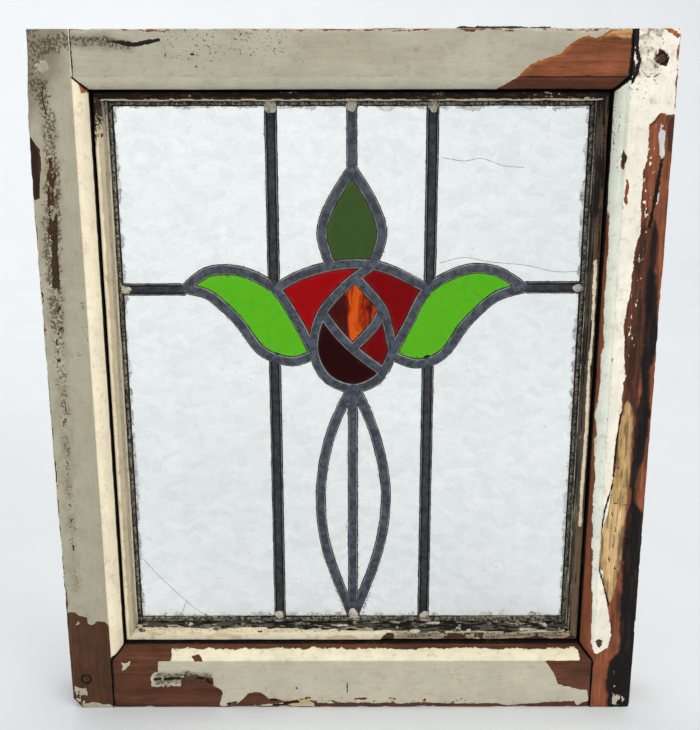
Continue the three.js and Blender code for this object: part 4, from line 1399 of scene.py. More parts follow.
def peg_piece(name, x, z, seed, painted):
    rings, spokes = 7, 40
    vertices, faces = [], []
    angles = np.linspace(0, 2 * math.pi, spokes, endpoint=False)
    maker = np.random.default_rng(seed)
    out_of_round = 1 + 0.04 * np.sin(3 * angles + maker.random() * 6) \
        + 0.02 * np.sin(7 * angles + maker.random() * 6)
    levels = [FRONT_Y + 0.75, FRONT_Y + 1.3] + list(np.linspace(FRONT_Y + 6, -FRONT_Y - 1, 6)) \
        + [-FRONT_Y + 0.1]

    def disc(y, sign):
        start = len(vertices)
        vertices.append((x, y, z))
        for ring in range(1, rings + 1):
            reach = PEG_RADIUS * (ring / rings) - (0.35 if ring == rings else 0)
            for k, angle in enumerate(angles):
                px = x + reach * out_of_round[k] * math.cos(angle)
                pz = z + reach * out_of_round[k] * math.sin(angle)
                vertices.append((px, y, pz))
        for k in range(spokes):
            face = [start, start + 1 + k, start + 1 + (k + 1) % spokes]
            faces.append(face if sign > 0 else face[::-1])
        for ring in range(rings - 1):
            for k in range(spokes):
                a = start + 1 + ring * spokes + k
                b = start + 1 + ring * spokes + (k + 1) % spokes
                face = [a, a + spokes, b + spokes, b]
                faces.append(face if sign > 0 else face[::-1])
        return start + 1 + (rings - 1) * spokes

    edge = disc(levels[0], 1)
    for level in levels[1:-1]:
        start = len(vertices)
        for k, angle in enumerate(angles):
            vertices.append((x + PEG_RADIUS * out_of_round[k] * math.cos(angle), level,
                             z + PEG_RADIUS * out_of_round[k] * math.sin(angle)))
        for k in range(spokes):
            faces.append([edge + k, start + k, start + (k + 1) % spokes, edge + (k + 1) % spokes])
        edge = start
    far = disc(levels[-1], -1)
    for k in range(spokes):
        faces.append([edge + k, far + k, far + (k + 1) % spokes, edge + (k + 1) % spokes])
    points = np.array(vertices, float)
    ends = np.abs(np.abs(points[:, 1]) + FRONT_Y) < 1.0
    lift = rough(points, (1.6, 30, 4.5), seed, 3) * 0.35
    tilt = (points[:, 0] - x) * 0.05
    points[:, 1] += np.where(ends & (points[:, 1] < 0), lift + tilt, 0)
    piece = make_piece(f"weathered_{name}", points, outward(points, faces), [name],
                       upright_timber)
    away = np.hypot(points[:, 0] - x, points[:, 2] - z)
    count = len(points)
    film = rough(points, 2.2, seed + 5, 3)
    keep_value(piece, "paint", film + (1.6 if painted else -0.9))
    keep_value(piece, "grime_and_shade", smooth(3.4, 4.5, away) * (0.2 if painted else 0.9)
               + (0 if painted else 0.9 if z < 100 and x > 0 else 0.42))
    keep_value(piece, "speckle", np.full(count, 0.3))
    keep_colour(piece, "tint", np.tile(GREIGE if painted else WARM_WHITE, (count, 1)))
    keep_colour(piece, "timber", np.tile(shade(88, 56, 40), (count, 1)))


for number, (peg_name, (peg_x, peg_z)) in enumerate(PEGS.items()):
    peg_piece(peg_name, peg_x, peg_z, 31 + number, peg_name == "peg_top_left")


def crumbling_strip(name, x0, x1, depth, height, seed, nodes=()):
    """A low ragged ridge of old black sealing strip along the top edge."""
    xs, ys = spaced(x0, x1, 0.8), spaced(0, depth, 0.8)
    gx, gy = np.meshgrid(xs, ys, indexing="ij")
    flat = np.stack([gx, gy, 0 * gx], -1)
    jut = rough(flat, (7, 4, 4), seed, 3)
    rim = np.minimum.reduce([gx - x0, x1 - gx, gy + 0 * gx, depth - gy])
    profile = smooth(-0.2, 1.8, rim + jut * 1.1)
    tops = SASH_HEIGHT + 0.1 + np.maximum(height * profile * (0.8 + 0.35 * jut), 0.05)
    pull_x = np.where(gx < (x0 + x1) / 2, 1, -1) * (1 - smooth(0, 4, np.minimum(gx - x0, x1 - gx)))
    px = gx + pull_x * (1.2 + 1.4 * rough(np.stack([gy, gy * 0, gx * 0], -1), 3, seed + 1))
    top = np.stack([px, FRONT_Y + 2 + gy, np.minimum(tops, SASH_HEIGHT + height)], -1)
    base = top.copy()
    base[..., 2] = SASH_HEIGHT - 0.3
    rows, cols = gx.shape
    vertices = np.concatenate([top.reshape(-1, 3), base.reshape(-1, 3)])
    number = np.arange(rows * cols).reshape(rows, cols)
    faces = []
    for i in range(rows - 1):
        for j in range(cols - 1):
            a, b, c, d = (int(v) for v in (number[i, j], number[i + 1, j],
                                           number[i + 1, j + 1], number[i, j + 1]))
            faces.append([a, b, c, d])
            faces.append([d + rows * cols, c + rows * cols, b + rows * cols, a + rows * cols])
    ring = [*number[:, 0], *number[-1, 1:], *number[-2::-1, -1], *number[0, -2:0:-1]]
    for a, b in zip(ring, ring[1:] + ring[:1]):
        faces.append([int(b), int(a), int(a) + rows * cols, int(b) + rows * cols])
    piece = make_piece(name, vertices, outward(vertices, faces), nodes, BLACK_STRIP)


BLACK_STRIP = crumbly_finish("black_strip_finish", shade(58, 54, 50), shade(16, 15, 14),
                             share=0.55, scale=180, rough_value=0.7)
crumbling_strip("crumbled_top_strip", 87, 168, 12, 2.5, 41, ["top_edge_strip"])
crumbling_strip("crumbled_top_mound", 16, 47, 7, 0.7, 42)


# ---------------------------------------------------------------- lead cames

BORDER_OUT = 9.6
BORDER_COVER = 7.0
# The open glass, clear of the border came.
OPEN_X0 = ARRIS_LEFT + BORDER_OUT + HEART + BORDER_COVER
OPEN_X1 = ARRIS_RIGHT - BORDER_OUT - HEART - BORDER_COVER
OPEN_Z0 = ARRIS_BOTTOM + BORDER_OUT + HEART + BORDER_COVER
OPEN_Z1 = ARRIS_TOP - BORDER_OUT - HEART - BORDER_COVER
# The cames end this far in from the moulding's edge.
CAME_END = 22.0
CAME_FOOT = ARRIS_BOTTOM + CAME_END
CAME_HEAD = ARRIS_TOP - CAME_END
CAME_X0 = ARRIS_LEFT + CAME_END
CAME_X1 = ARRIS_RIGHT - CAME_END

# The middle line of every came, by the places it passes through (x, z).
CAME_LINES = {
    "leaf_left_upper": [(-154, 408.3), (-131, 424.3), (-99.6, 423.9), (-70, 407.5),
                        (-50, 377), (-34, 345)],
    "leaf_right_upper": [(160.5, 408.8), (134, 424.6), (104, 425.4), (71, 407), (53, 374),
                         (37, 343)],
    "rose_outline": [(19, 429.5), (-5.6, 410.6), (-27.6, 384), (-35.2, 351), (-23.7, 323.7),
                     (1.6, 312.6), (26, 322.5), (38, 345), (38.4, 356)],
    "petal_arch": [(-71, 407.5), (-43.5, 422.2), (-5, 431), (31.4, 427.5), (72, 407.5)],
    "rose_right": [(5, 418), (16.6, 405.3), (30.1, 387.3), (38.4, 356)],
    "rose_inner_long": [(-27, 386), (-12.7, 366.3), (4.3, 348.9), (31.5, 328)],
    "rose_inner_short": [(28, 385), (21.5, 372.5), (1.5, 351)],
    "leaf_left_lower": [(-154, 408.3), (-131.7, 402.2), (-106, 378.5), (-84, 349),
                        (-57, 339), (-36.5, 344.5)],
    "leaf_right_lower": [(160.5, 408.8), (134, 400.2), (108, 375.6), (87, 346), (63, 336.6),
                         (39.5, 344)],
    "cross_left": [(CAME_X0, 407.7), (-153, 407.7)],
    "cross_right": [(159.5, 409.3), (CAME_X1, 409.3)],
    "top_left": [(-71.3, 411), (-71.3, CAME_HEAD)],
    "top_right": [(73, 411), (73, CAME_HEAD)],
    "low_left": [(-71.7, CAME_FOOT), (-71.7, 343)],
    "low_right": [(72.6, CAME_FOOT), (72.6, 339)],
    "bud_left": [(1, 517), (-17.8, 486.8), (-26.6, 459), (-18.5, 429)],
    "bud_right": [(1, 517), (18.9, 488.6), (28.4, 459), (19.5, 429)],
    "top_middle": [(0.9, 515), (0.9, CAME_HEAD)],
    "stem_left": [(-0.5, 311.5), (-20.6, 263), (-29.6, 206), (-23.5, 146), (1.6, CAME_FOOT + 1)],
    "stem_right": [(5, 311.5), (24.2, 263), (34, 206), (27, 146), (2.4, CAME_FOOT + 1)],
    "low_middle": [(1.8, CAME_FOOT), (1.8, 311)],
}
STRAIGHT = ("cross_left", "cross_right", "top_left", "top_right", "low_left", "low_right")


def smooth_line(points, step=1.0):
    """A curve through the points, resampled evenly; its ends repeat as the cutter's do."""
    points = np.array(points, float)
    if len(points) == 2:
        count = max(int(round(np.linalg.norm(points[1] - points[0]) / step)), 1)
        return points[0] + (points[1] - points[0]) * np.linspace(0, 1, count + 1)[:, None]
    padded = np.vstack([points[:1], points, points[-1:]])
    t = np.linspace(0, 1, 60, endpoint=False)[:, None]
    parts = []
    for p0, p1, p2, p3 in zip(padded, padded[1:], padded[2:], padded[3:]):
        v0, v1 = (p2 - p0) / 2, (p3 - p1) / 2
        parts.append((2 * p1 - 2 * p2 + v0 + v1) * t ** 3
                     + (-3 * p1 + 3 * p2 - 2 * v0 - v1) * t ** 2 + v0 * t + p1)
    dense = np.vstack(parts + [points[-1:]])
    length = np.concatenate([[0], np.cumsum(np.linalg.norm(np.diff(dense, axis=0), axis=1))])
    even = np.linspace(0, length[-1], max(int(round(length[-1] / step)), 2) + 1)
    return np.stack([np.interp(even, length, dense[:, k]) for k in (0, 1)], -1)


def geometry_tree(name, entries):
    """A geometry tree with its sockets: the tree, its wiring, and what enters and leaves."""
    tree = bpy.data.node_groups.new(name, "GeometryNodeTree")
    face = tree.interface
    face.new_socket("Geometry", in_out="OUTPUT", socket_type="NodeSocketGeometry")
    for label, kind in entries:
        face.new_socket(label, in_out="INPUT", socket_type=f"NodeSocket{kind}")
    w = Wiring(tree)
    return tree, w, w.add("NodeGroupInput").outputs, w.add("NodeGroupOutput").inputs


def strip_along_path_tree():
    """A section drawn along a line in the panel, wandering and dented as soft lead is."""
    tree, w, enter, leave = geometry_tree("Strip along a line", (
        ("Line", "Geometry"), ("Step", "Float"), ("Wander", "Float"),
        ("Thickness noise", "Float"), ("Dents", "Float"), ("Dent size", "Float"),
        ("Depth", "Float"), ("Section", "Object"), ("Finish", "Material"),
        ("Seed", "Float")))

    def noise_at(scale, offset):
        noise = w.add("ShaderNodeTexNoise", noise_dimensions="4D")
        w.feed(noise, {"Vector": w.add("GeometryNodeInputPosition").outputs[0],
                       "Scale": scale, "Detail": 3.0,
                       "W": w.plus(enter["Seed"], offset)})
        return noise.outputs

    def drift(scale, offset):
        return w.vector("SUBTRACT", noise_at(scale, offset)["Color"], (0.5, 0.5, 0.5))

    curve = w.add("GeometryNodeMeshToCurve")
    w.join(enter["Line"], curve.inputs["Mesh"])
    even = w.add("GeometryNodeResampleCurve")
    even.mode = "LENGTH"
    w.feed(even, {"Curve": curve.outputs[0], "Length": enter["Step"]})
    wander = w.vector("MULTIPLY", drift(60.0, 0.0), (1, 1, 0))
    moved = w.add("GeometryNodeSetPosition")
    w.feed(moved, {"Geometry": even.outputs[0],
                   "Offset": w.vector("SCALE", wander, enter["Wander"])})
    upright = w.add("GeometryNodeSetCurveNormal", mode="Z_UP")
    w.join(moved.outputs[0], upright.inputs["Curve"])
    centred = w.less(noise_at(420.0, 7.0)["Fac"], 0.5)
    size = w.plus(w.times(centred, enter["Thickness noise"]), 1.0)
    size = w.sums("MAXIMUM", size, 0.12)
    radius = w.add("GeometryNodeSetCurveRadius")
    w.feed(radius, {"Curve": upright.outputs[0], "Radius": size})
    section = w.add("GeometryNodeObjectInfo")
    w.join(enter["Section"], section.inputs["Object"])
    profile = w.add("GeometryNodeMeshToCurve")
    w.join(section.outputs["Geometry"], profile.inputs["Mesh"])
    swept = w.add("GeometryNodeCurveToMesh")
    w.feed(swept, {"Curve": radius.outputs[0], "Profile Curve": profile.outputs[0],
                   "Scale": w.add("GeometryNodeInputRadius").outputs[0],
                   "Fill Caps": True})
    dented = w.add("GeometryNodeSetPosition")
    w.feed(dented, {"Geometry": swept.outputs[0],
                    "Offset": w.vector("SCALE", drift(enter["Dent size"], 3.0),
                                       enter["Dents"])})
    stood = w.add("GeometryNodeTransform")
    depth = w.add("ShaderNodeCombineXYZ")
    w.join(enter["Depth"], depth.inputs["Y"])
    w.feed(stood, {"Geometry": dented.outputs[0], "Translation": depth.outputs[0]})
    stood.inputs["Rotation"].default_value = (math.pi / 2, 0, 0)
    real = w.add("GeometryNodeRealizeInstances")
    w.join(stood.outputs[0], real.inputs[0])
    made = w.add("GeometryNodeSetMaterial")
    w.feed(made, {"Geometry": real.outputs[0], "Material": enter["Finish"]})
    w.join(made.outputs[0], leave["Geometry"])
    return tree


def helper_mesh(name, points, closed=False, value=None):
    """A bare line of points in metres, used to feed a tree and removed afterwards."""
    mesh = bpy.data.meshes.new(name)
    count = len(points)
    edges = [(i, i + 1) for i in range(count - 1)] + ([(count - 1, 0)] if closed else [])
    mesh.from_pydata([tuple(float(v) * MM for v in p) for p in points], edges, [])
    if value is not None:
        layer = mesh.attributes.new("across", "FLOAT", "POINT")
        layer.data.foreach_set("value", np.asarray(value, np.float32))
    return new_object(name, mesh)


def grown(name, source, tree, inputs, nodes=()):
    """Runs a tree on a helper and keeps the result as a plain mesh piece."""
    modifier = source.modifiers.new("shape", "NODES")
    modifier.node_group = tree
    for item in tree.interface.items_tree:
        if item.item_type == "SOCKET" and item.in_out == "INPUT" and item.name in inputs:
            modifier[item.identifier] = inputs[item.name]
    bpy.context.view_layer.update()
    graph = bpy.context.evaluated_depsgraph_get()
    mesh = bpy.data.meshes.new_from_object(source.evaluated_get(graph), depsgraph=graph)
    source.modifiers.remove(modifier)
    bpy.data.objects.remove(source)
    bm = bmesh.new()
    bm.from_mesh(mesh)
    bmesh.ops.recalc_face_normals(bm, faces=bm.faces)
    bm.to_mesh(mesh)
    bm.free()
    mesh.name = name
    mesh.set_sharp_from_angle(angle=math.radians(50))
    piece = new_object(name, mesh)
    settle(piece, nodes)
    return piece


def came_section(name, width, flat):
    """The lead's H section, domed or beaded outside, in (across, deep) about its middle."""
    half, deep, heart = width / 2, PANEL_THICK / 2, HEART / 2
    web = deep - FLANGE
    if flat:
        top = [(-1.0, -0.62), (-0.97, -0.16), (-0.86, 0.02), (-0.78, -0.08), (-0.70, -0.55),
               (-0.61, -0.50), (-0.54, 0.10), (-0.30, 0.20), (0, 0.24)]
    else:
        top = [(-1.0, -0.75), (-0.97, -0.42), (-0.88, -0.20), (-0.74, 0.0), (-0.52, 0.22),
               (-0.26, 0.38), (0, 0.44)]
    top += [(-a, b) for a, b in reversed(top[:-1])]
    outside = [(half * a, deep + b) for a, b in top]
    right = [(half * 0.98, web), (heart, web), (heart, -web), (half * 0.98, -web)]
    under = [(half * a, -deep - b) for a, b in reversed(top)]
    left = [(-half * 0.98, -web), (-heart, -web), (-heart, web), (-half * 0.98, web)]
    points = outside + right + under + left
    flat_points = [(a, b, 0) for a, b in points]
    return helper_mesh(name, flat_points, closed=True, value=[a / half for a, _ in points])


def round_section(name, radius, squash, count=7):
    angles = np.linspace(0, 2 * math.pi, count, endpoint=False)
    return helper_mesh(name, [(radius * math.cos(a), radius * squash * math.sin(a), 0)
                              for a in angles], closed=True,
                       value=np.zeros(count))


STRIP_TREE = strip_along_path_tree()
lead_flat = lead_finish("lead_flat_came", shade(34, 38, 45), shade(150, 140, 124), True)
lead_round = lead_finish("lead_round_came", shade(52, 57, 66), shade(186, 180, 165), False,
                         sheen_rough=0.40, metal=0.6)
lead_border = lead_finish("lead_border_came", shade(26, 24, 22), shade(140, 134, 120), False,
                          sheen_rough=0.7, metal=0.1)
flat_section = came_section("flat_came_section", WIDE_CAME, True)
round_came_section = came_section("round_came_section", NARROW_CAME, False)
came_paths = {name: smooth_line(points) for name, points in CAME_LINES.items()}

for number, (name, path) in enumerate(came_paths.items()):
    straight = name in STRAIGHT
    line = helper_mesh(f"line_{name}", [(x, z, 0) for x, z in path])
    grown(f"lead_{name}", line, STRIP_TREE, {
        "Step": 0.0022 if straight else 0.0014, "Wander": 0.0009 if straight else 0.0005,
        "Thickness noise": 0.08 if straight else 0.22, "Dents": 0.00042 if straight else 0.0005,
        "Dent size": 210.0, "Section": flat_section if straight else round_came_section,
        "Finish": lead_flat if straight else lead_round, "Seed": float(number) * 1.7,
        "Depth": PANEL_Y * MM,
    }, [f"came_{name}"])

for side in ("left", "right", "top", "bottom"):
    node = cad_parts[f"came_border_{side}"]
    for place_in in node.material_slots:
        place_in.material = lead_border


# ---------------------------------------------------------------- cement, dirt and cracks

def beside(path, offset):
    """The line that runs a distance to one side of another."""
    along = np.gradient(path, axis=0)
    along /= np.linalg.norm(along, axis=1, keepdims=True)
    return path + np.stack([-along[:, 1], along[:, 0]], 1) * offset


def in_the_open(name, line, clear):
    """Which points of a line lie on open glass, where no other came covers them."""
    keep = np.ones(len(line), bool)
    for other, path in came_paths.items():
        if other == name:
            continue
        coarse = np.vstack([path[::4] if len(path) > 8 else path, path[-1:]])
        keep &= off_line(line[:, 0], line[:, 1], coarse.tolist()) > clear
    x, z = line.T
    keep &= (x > OPEN_X0) & (x < OPEN_X1) & (z > OPEN_Z0) & (z < OPEN_Z1)
    return keep


def broken_lines(name, lines):
    """One helper object holding several separate lines."""
    points, edges = [], []
    for line in lines:
        if len(line) < 4:
            continue
        start = len(points)
        points += [(x * MM, z * MM, 0) for x, z in line]
        edges += [(start + i, start + i + 1) for i in range(len(line) - 1)]
    mesh = bpy.data.meshes.new(name)
    mesh.from_pydata(points, edges, [])
    return new_object(name, mesh)


def packed_line(name, lines, section, finish, seed, depth, sizes):
    """Ragged dirt or putty along lines; sizes in metres, but for the noise's own scale."""
    step, wander, thickness, dents, dent_size = sizes
    grown(name, broken_lines(f"{name}_line", lines), STRIP_TREE, {
        "Step": step, "Wander": wander, "Thickness noise": thickness, "Dents": dents,
        "Dent size": dent_size, "Section": section, "Finish": finish, "Seed": seed,
        "Depth": depth * MM}, ())


def stretches(line, keep):
    """The unbroken parts of a line."""
    parts, start = [], None
    for i, good in enumerate(list(keep) + [False]):
        if good and start is None:
            start = i
        if not good and start is not None:
            parts.append(line[start:i])
            start = None
    return parts


edge_dirt = crumbly_finish("came_edge_dirt", shade(70, 61, 48), shade(12, 10, 9), share=0.66,
                           scale=420)
cement = crumbly_finish("came_cement", shade(168, 160, 142), shade(30, 27, 23), share=0.52,
                        scale=420)
putty = crumbly_finish("pale_putty", shade(214, 204, 186), shade(140, 126, 106), share=0.46,
                       scale=240)
solder = lead_finish("solder", shade(58, 63, 71), shade(120, 122, 120), False,
                     sheen_rough=0.40, metal=0.6)
thread_section = round_section("thread_section", 0.55, 0.5)
hair_section = round_section("hair_section", 0.21, 1.0, 5)
putty_section = round_section("putty_section", 1.5, 0.6, 9)

dirt_lines = []
for name, path in came_paths.items():
    half = (WIDE_CAME if name in STRAIGHT else NARROW_CAME) / 2
    for hand in (-1, 1):
        line = beside(path, hand * (half + 0.25))
        dirt_lines += stretches(line, in_the_open(name, line, half))
GLASS_FRONT = PANEL_Y - 1.5
packed_line("came_edge_grime", dirt_lines, thread_section, edge_dirt, 3.0,
            GLASS_FRONT - 0.05, (0.0016, 0.0012, 2.6, 0.0003, 700.0))


def sight_lines(inset):
    x0, x1 = ARRIS_LEFT + SIGHT + inset, ARRIS_RIGHT - SIGHT - inset
    z0, z1 = ARRIS_BOTTOM + SIGHT + inset, ARRIS_TOP - SIGHT - inset
    corners = [(x0, z0), (x1, z0), (x1, z1), (x0, z1)]
    return [smooth_line([a, b], 1.5) for a, b in zip(corners, corners[1:] + corners[:1])]


packed_line("sight_edge_cement", sight_lines(1.4), putty_section, cement, 9.0,
            PANEL_Y - 3.2, (0.0017, 0.0013, 1.3, 0.0006, 500.0))
packed_line("sight_edge_grime", sight_lines(3.5), thread_section, edge_dirt, 12.0,
            GLASS_FRONT - 0.05, (0.0010, 0.0018, 1.7, 0.0013, 900.0))
low_edge = [smooth_line([(ARRIS_LEFT + SIGHT, 72.6), (-150, 73.8), (-80, 72.4), (0, 73.2),
                         (80, 72.6), (150, 73.4), (ARRIS_RIGHT - SIGHT, 73)], 1.5)]
packed_line("low_edge_putty", low_edge, putty_section, cement, 15.0,
            PANEL_Y - 3.6, (0.0017, 0.0028, 1.9, 0.0011, 420.0))

crack_finish = crumbly_finish("glass_crack", shade(120, 108, 98), shade(46, 40, 36), share=0.5,
                              scale=300, rough_value=0.6)
cracks = [smooth_line(line, 1.0) for line in (
    [(82, 527), (101, 524), (118, 526), (137, 520), (156, 518)],
    [(82, 432), (104, 437), (128, 433), (160, 430), (188, 424), (209, 424)],
    [(-207, 137), (-190, 116), (-166, 91), (-154, 80), (-146, 75)],
    [(113, 406), (118, 402), (123, 398.5)], [(-166, 91), (-170, 79)])]
packed_line("glass_cracks", cracks, hair_section, crack_finish, 21.0,
            GLASS_FRONT - 0.02, (0.0011, 0.0008, 2.2, 0.0002, 600.0))


# ---------------------------------------------------------------- solder and putty

def blob_tree():
    """Flattened lumps set on points, each of its own size, with a rough skin."""
    tree, w, enter, leave = geometry_tree("Lumps on points", (
        ("Spots", "Geometry"), ("Roughness", "Float"), ("Lump size", "Float"),
        ("Finish", "Material"), ("Seed", "Int")))
    spots = w.add("GeometryNodeMeshToPoints")
    w.join(enter["Spots"], spots.inputs["Mesh"])
    ball = w.add("GeometryNodeMeshIcoSphere")
    ball.inputs["Subdivisions"].default_value = 3
    ball.inputs["Radius"].default_value = 1.0
    grow = w.add("FunctionNodeRandomValue", data_type="FLOAT_VECTOR")
    w.feed(grow, {0: (0.78, 1.0, 0.78), 1: (1.22, 1.0, 1.22),
                  "Seed": w.plus(enter["Seed"], 5)})
    own = w.add("GeometryNodeInputNamedAttribute", data_type="FLOAT_VECTOR")
    own.inputs["Name"].default_value = "reach"
    placed_on = w.add("GeometryNodeInstanceOnPoints")
    w.feed(placed_on, {"Points": spots.outputs[0], "Instance": ball.outputs[0],
                       "Scale": w.vector("MULTIPLY", grow.outputs[0], own.outputs[0])})
    real = w.add("GeometryNodeRealizeInstances")
    w.join(placed_on.outputs[0], real.inputs[0])
    noise = w.add("ShaderNodeTexNoise")
    place = w.add("GeometryNodeInputPosition").outputs[0]
    w.feed(noise, {"Vector": place, "Scale": enter["Lump size"], "Detail": 4.0})
    centred = w.vector("SUBTRACT", noise.outputs["Color"], (0.5, 0.5, 0.5))
    scaled = w.vector("SCALE", centred, enter["Roughness"])
    moved = w.add("GeometryNodeSetPosition")
    w.feed(moved, {"Geometry": real.outputs[0],
                   "Offset": w.vector("MULTIPLY", scaled, (1.6, 0.35, 1.6))})
    made = w.add("GeometryNodeSetMaterial")
    w.feed(made, {"Geometry": moved.outputs[0], "Material": enter["Finish"]})
    w.join(made.outputs[0], leave["Geometry"])
    return tree


BLOB_TREE = blob_tree()


def lumps(name, spots, finish, seed, roughness=0.0014, lump_size=300.0):
    """spots are (x, y, z, reach across, reach through, reach up), all in millimetres."""
    mesh = bpy.data.meshes.new(name)
    mesh.from_pydata([(x * MM, y * MM, z * MM) for x, y, z, *_ in spots], [], [])
    layer = mesh.attributes.new("reach", "FLOAT_VECTOR", "POINT")
    layer.data.foreach_set("vector", np.array([[a * MM, b * MM, c * MM]
                                               for *_, a, b, c in spots], np.float32).ravel())
    return grown(name, new_object(name + "_spots", mesh), BLOB_TREE, {
        "Roughness": roughness, "Lump size": lump_size, "Finish": finish, "Seed": seed},
        ())


LEAD_FRONT = PANEL_Y - 3.0
joints = [(-151, 408.5, 6.5, 5.2), (157, 409, 6.5, 5.2), (-69.5, 408, 6.6, 6.0),
          (71, 408, 6.6, 6.0), (-18.5, 429.5, 5.6, 5.0), (19.5, 429.5, 6.4, 5.2),
          (1, 514, 5.2, 7.2), (-36, 345, 5.4, 6.2), (38, 346, 5.6, 6.4), (2, 313, 8.2, 5.6),
          (-27, 385, 5.0, 4.8), (29.5, 387, 5.0, 4.8), (2.5, 350.5, 5.0, 5.0),
          (31, 329, 5.2, 4.8), (6, 418.5, 5.0, 4.4), (-71.7, 343.5, 5.8, 5.4),
          (72.6, 340, 5.8, 5.4)]
spots = [(x, side * 3.1 + PANEL_Y, z, a * 0.66, 0.50, b * 0.66)
         for x, z, a, b in joints for side in (-1, 1)]
lumps("solder_joints", spots, solder, 4, roughness=0.0017, lump_size=230.0)

ends = [(-71.5, 572.0, 5.2, 7.4), (0.9, 573.0, 4.6, 6.0), (73, 572.2, 5.2, 6.6),
        (-208.6, 407.6, 4.6, 3.8), (210, 409.2, 4.8, 4.0), (-72.5, 76, 4.6, 5.2),
        (-73.5, 71.6, 6.2, 3.2), (2, 77.5, 4.2, 5.6), (4.5, 72, 6.0, 3.0), (73.5, 76, 4.4, 5.4),
        (75, 71.5, 6.4, 3.0)]
spots = [(x, LEAD_FRONT - 0.2, z, a, 1.3, b) for x, z, a, b in ends]
spots += [(x, PANEL_Y + 3.1, z, a, 0.9, b) for x, z, a, b in ends]
lumps("came_end_putty", spots, putty, 6, roughness=0.0036, lump_size=210.0)

crumb_maker = np.random.default_rng(61)
crumbs = []
for _ in range(46):
    x = crumb_maker.uniform(ARRIS_LEFT + 20, ARRIS_RIGHT - 20)
    y = crumb_maker.uniform(-8, 12)
    crumbs.append((x, y, ARRIS_BOTTOM + SIGHT + 0.5, crumb_maker.uniform(1.6, 7.5),
                   crumb_maker.uniform(1.2, 3.2), crumb_maker.uniform(0.5, 1.7)))
lumps("low_bead_crumbs", crumbs[:26], cement, 8, roughness=0.0032, lump_size=260.0)
lumps("low_bead_flakes", crumbs[26:], putty, 9, roughness=0.0028, lump_size=300.0)

for helper in (flat_section, round_came_section, thread_section, hair_section, putty_section):
    bpy.data.objects.remove(helper)


# ---------------------------------------------------------------- panes

def crumpled(x, z, cell, seed):
    """Depth and crease strength of rolled crumple glass: small tilted facets."""
    base = np.stack([x, 0 * x, z], -1)
    wx = x + rough(base, 17, seed, 2) * 4.2
    wz = z + rough(base, 15, seed + 1, 2) * 4.2
    ix, iz = np.floor(wx / cell).astype(int), np.floor(wz / cell).astype(int)
    table = np.random.default_rng(seed + 2).random((64, 64, 3))
    best = np.full(x.shape, 1e9)
    second = np.full(x.shape, 1e9)
    for dx in (-2, -1, 0, 1, 2):
        for dz in (-2, -1, 0, 1, 2):
            spot = table[(ix + dx) % 64, (iz + dz) % 64]
            px, pz = (ix + dx + spot[..., 0]) * cell, (iz + dz + spot[..., 1]) * cell
            angle = spot[..., 2] * math.pi
            ax, az = wx - px, wz - pz
            along = ax * np.cos(angle) + az * np.sin(angle)
            across = -ax * np.sin(angle) + az * np.cos(angle)
            away = np.hypot(along * 0.55, across * 1.25)
            nearer = away < best
            second = np.where(nearer, best, np.minimum(second, away))
            best = np.where(nearer, away, best)
    gap = second - best
    return smooth(0.0, cell * 0.5, gap), np.exp(-(gap / (cell * 0.075)) ** 2)


def front_outline(node_name):
    """The outline of a pane's front face, in order, from its solid."""
    bm = bmesh.new()
    bm.from_mesh(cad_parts[node_name].data)
    bmesh.ops.remove_doubles(bm, verts=bm.verts, dist=1e-6)
    front = min(v.co.y for v in bm.verts)
    faces = {f for f in bm.faces if all(abs(v.co.y - front) < 2e-5 for v in f.verts)}
    links = {}
    for face in faces:
        for loop in face.loops:
            others = [f for f in loop.edge.link_faces if f is not face and f in faces]
            if not others:
                links[loop.vert.index] = loop.link_loop_next.vert.index
    bm.verts.ensure_lookup_table()
    start = min(links)
    order, at = [start], links[start]
    while at != start and len(order) <= len(links):
        order.append(at)
        at = links[at]
    outline = np.array([[bm.verts[i].co.x / MM, bm.verts[i].co.z / MM] for i in order])
    bm.free()
    return outline


def cut_sheet(points, ring, corners):
    """Triangles over points inside an outline: places, triangles and where each came from."""
    made = delaunay_2d_cdt([Vector(p) for p in points], ring, [], 0, 1e-5, True)
    flat = np.array([tuple(v) for v in made[0]])
    triangles = np.array(made[2])
    middles = flat[triangles].mean(1)
    inside = within(middles[:, 0], middles[:, 1], corners) > 1e-4
    return flat, triangles[inside].tolist(), made[3]


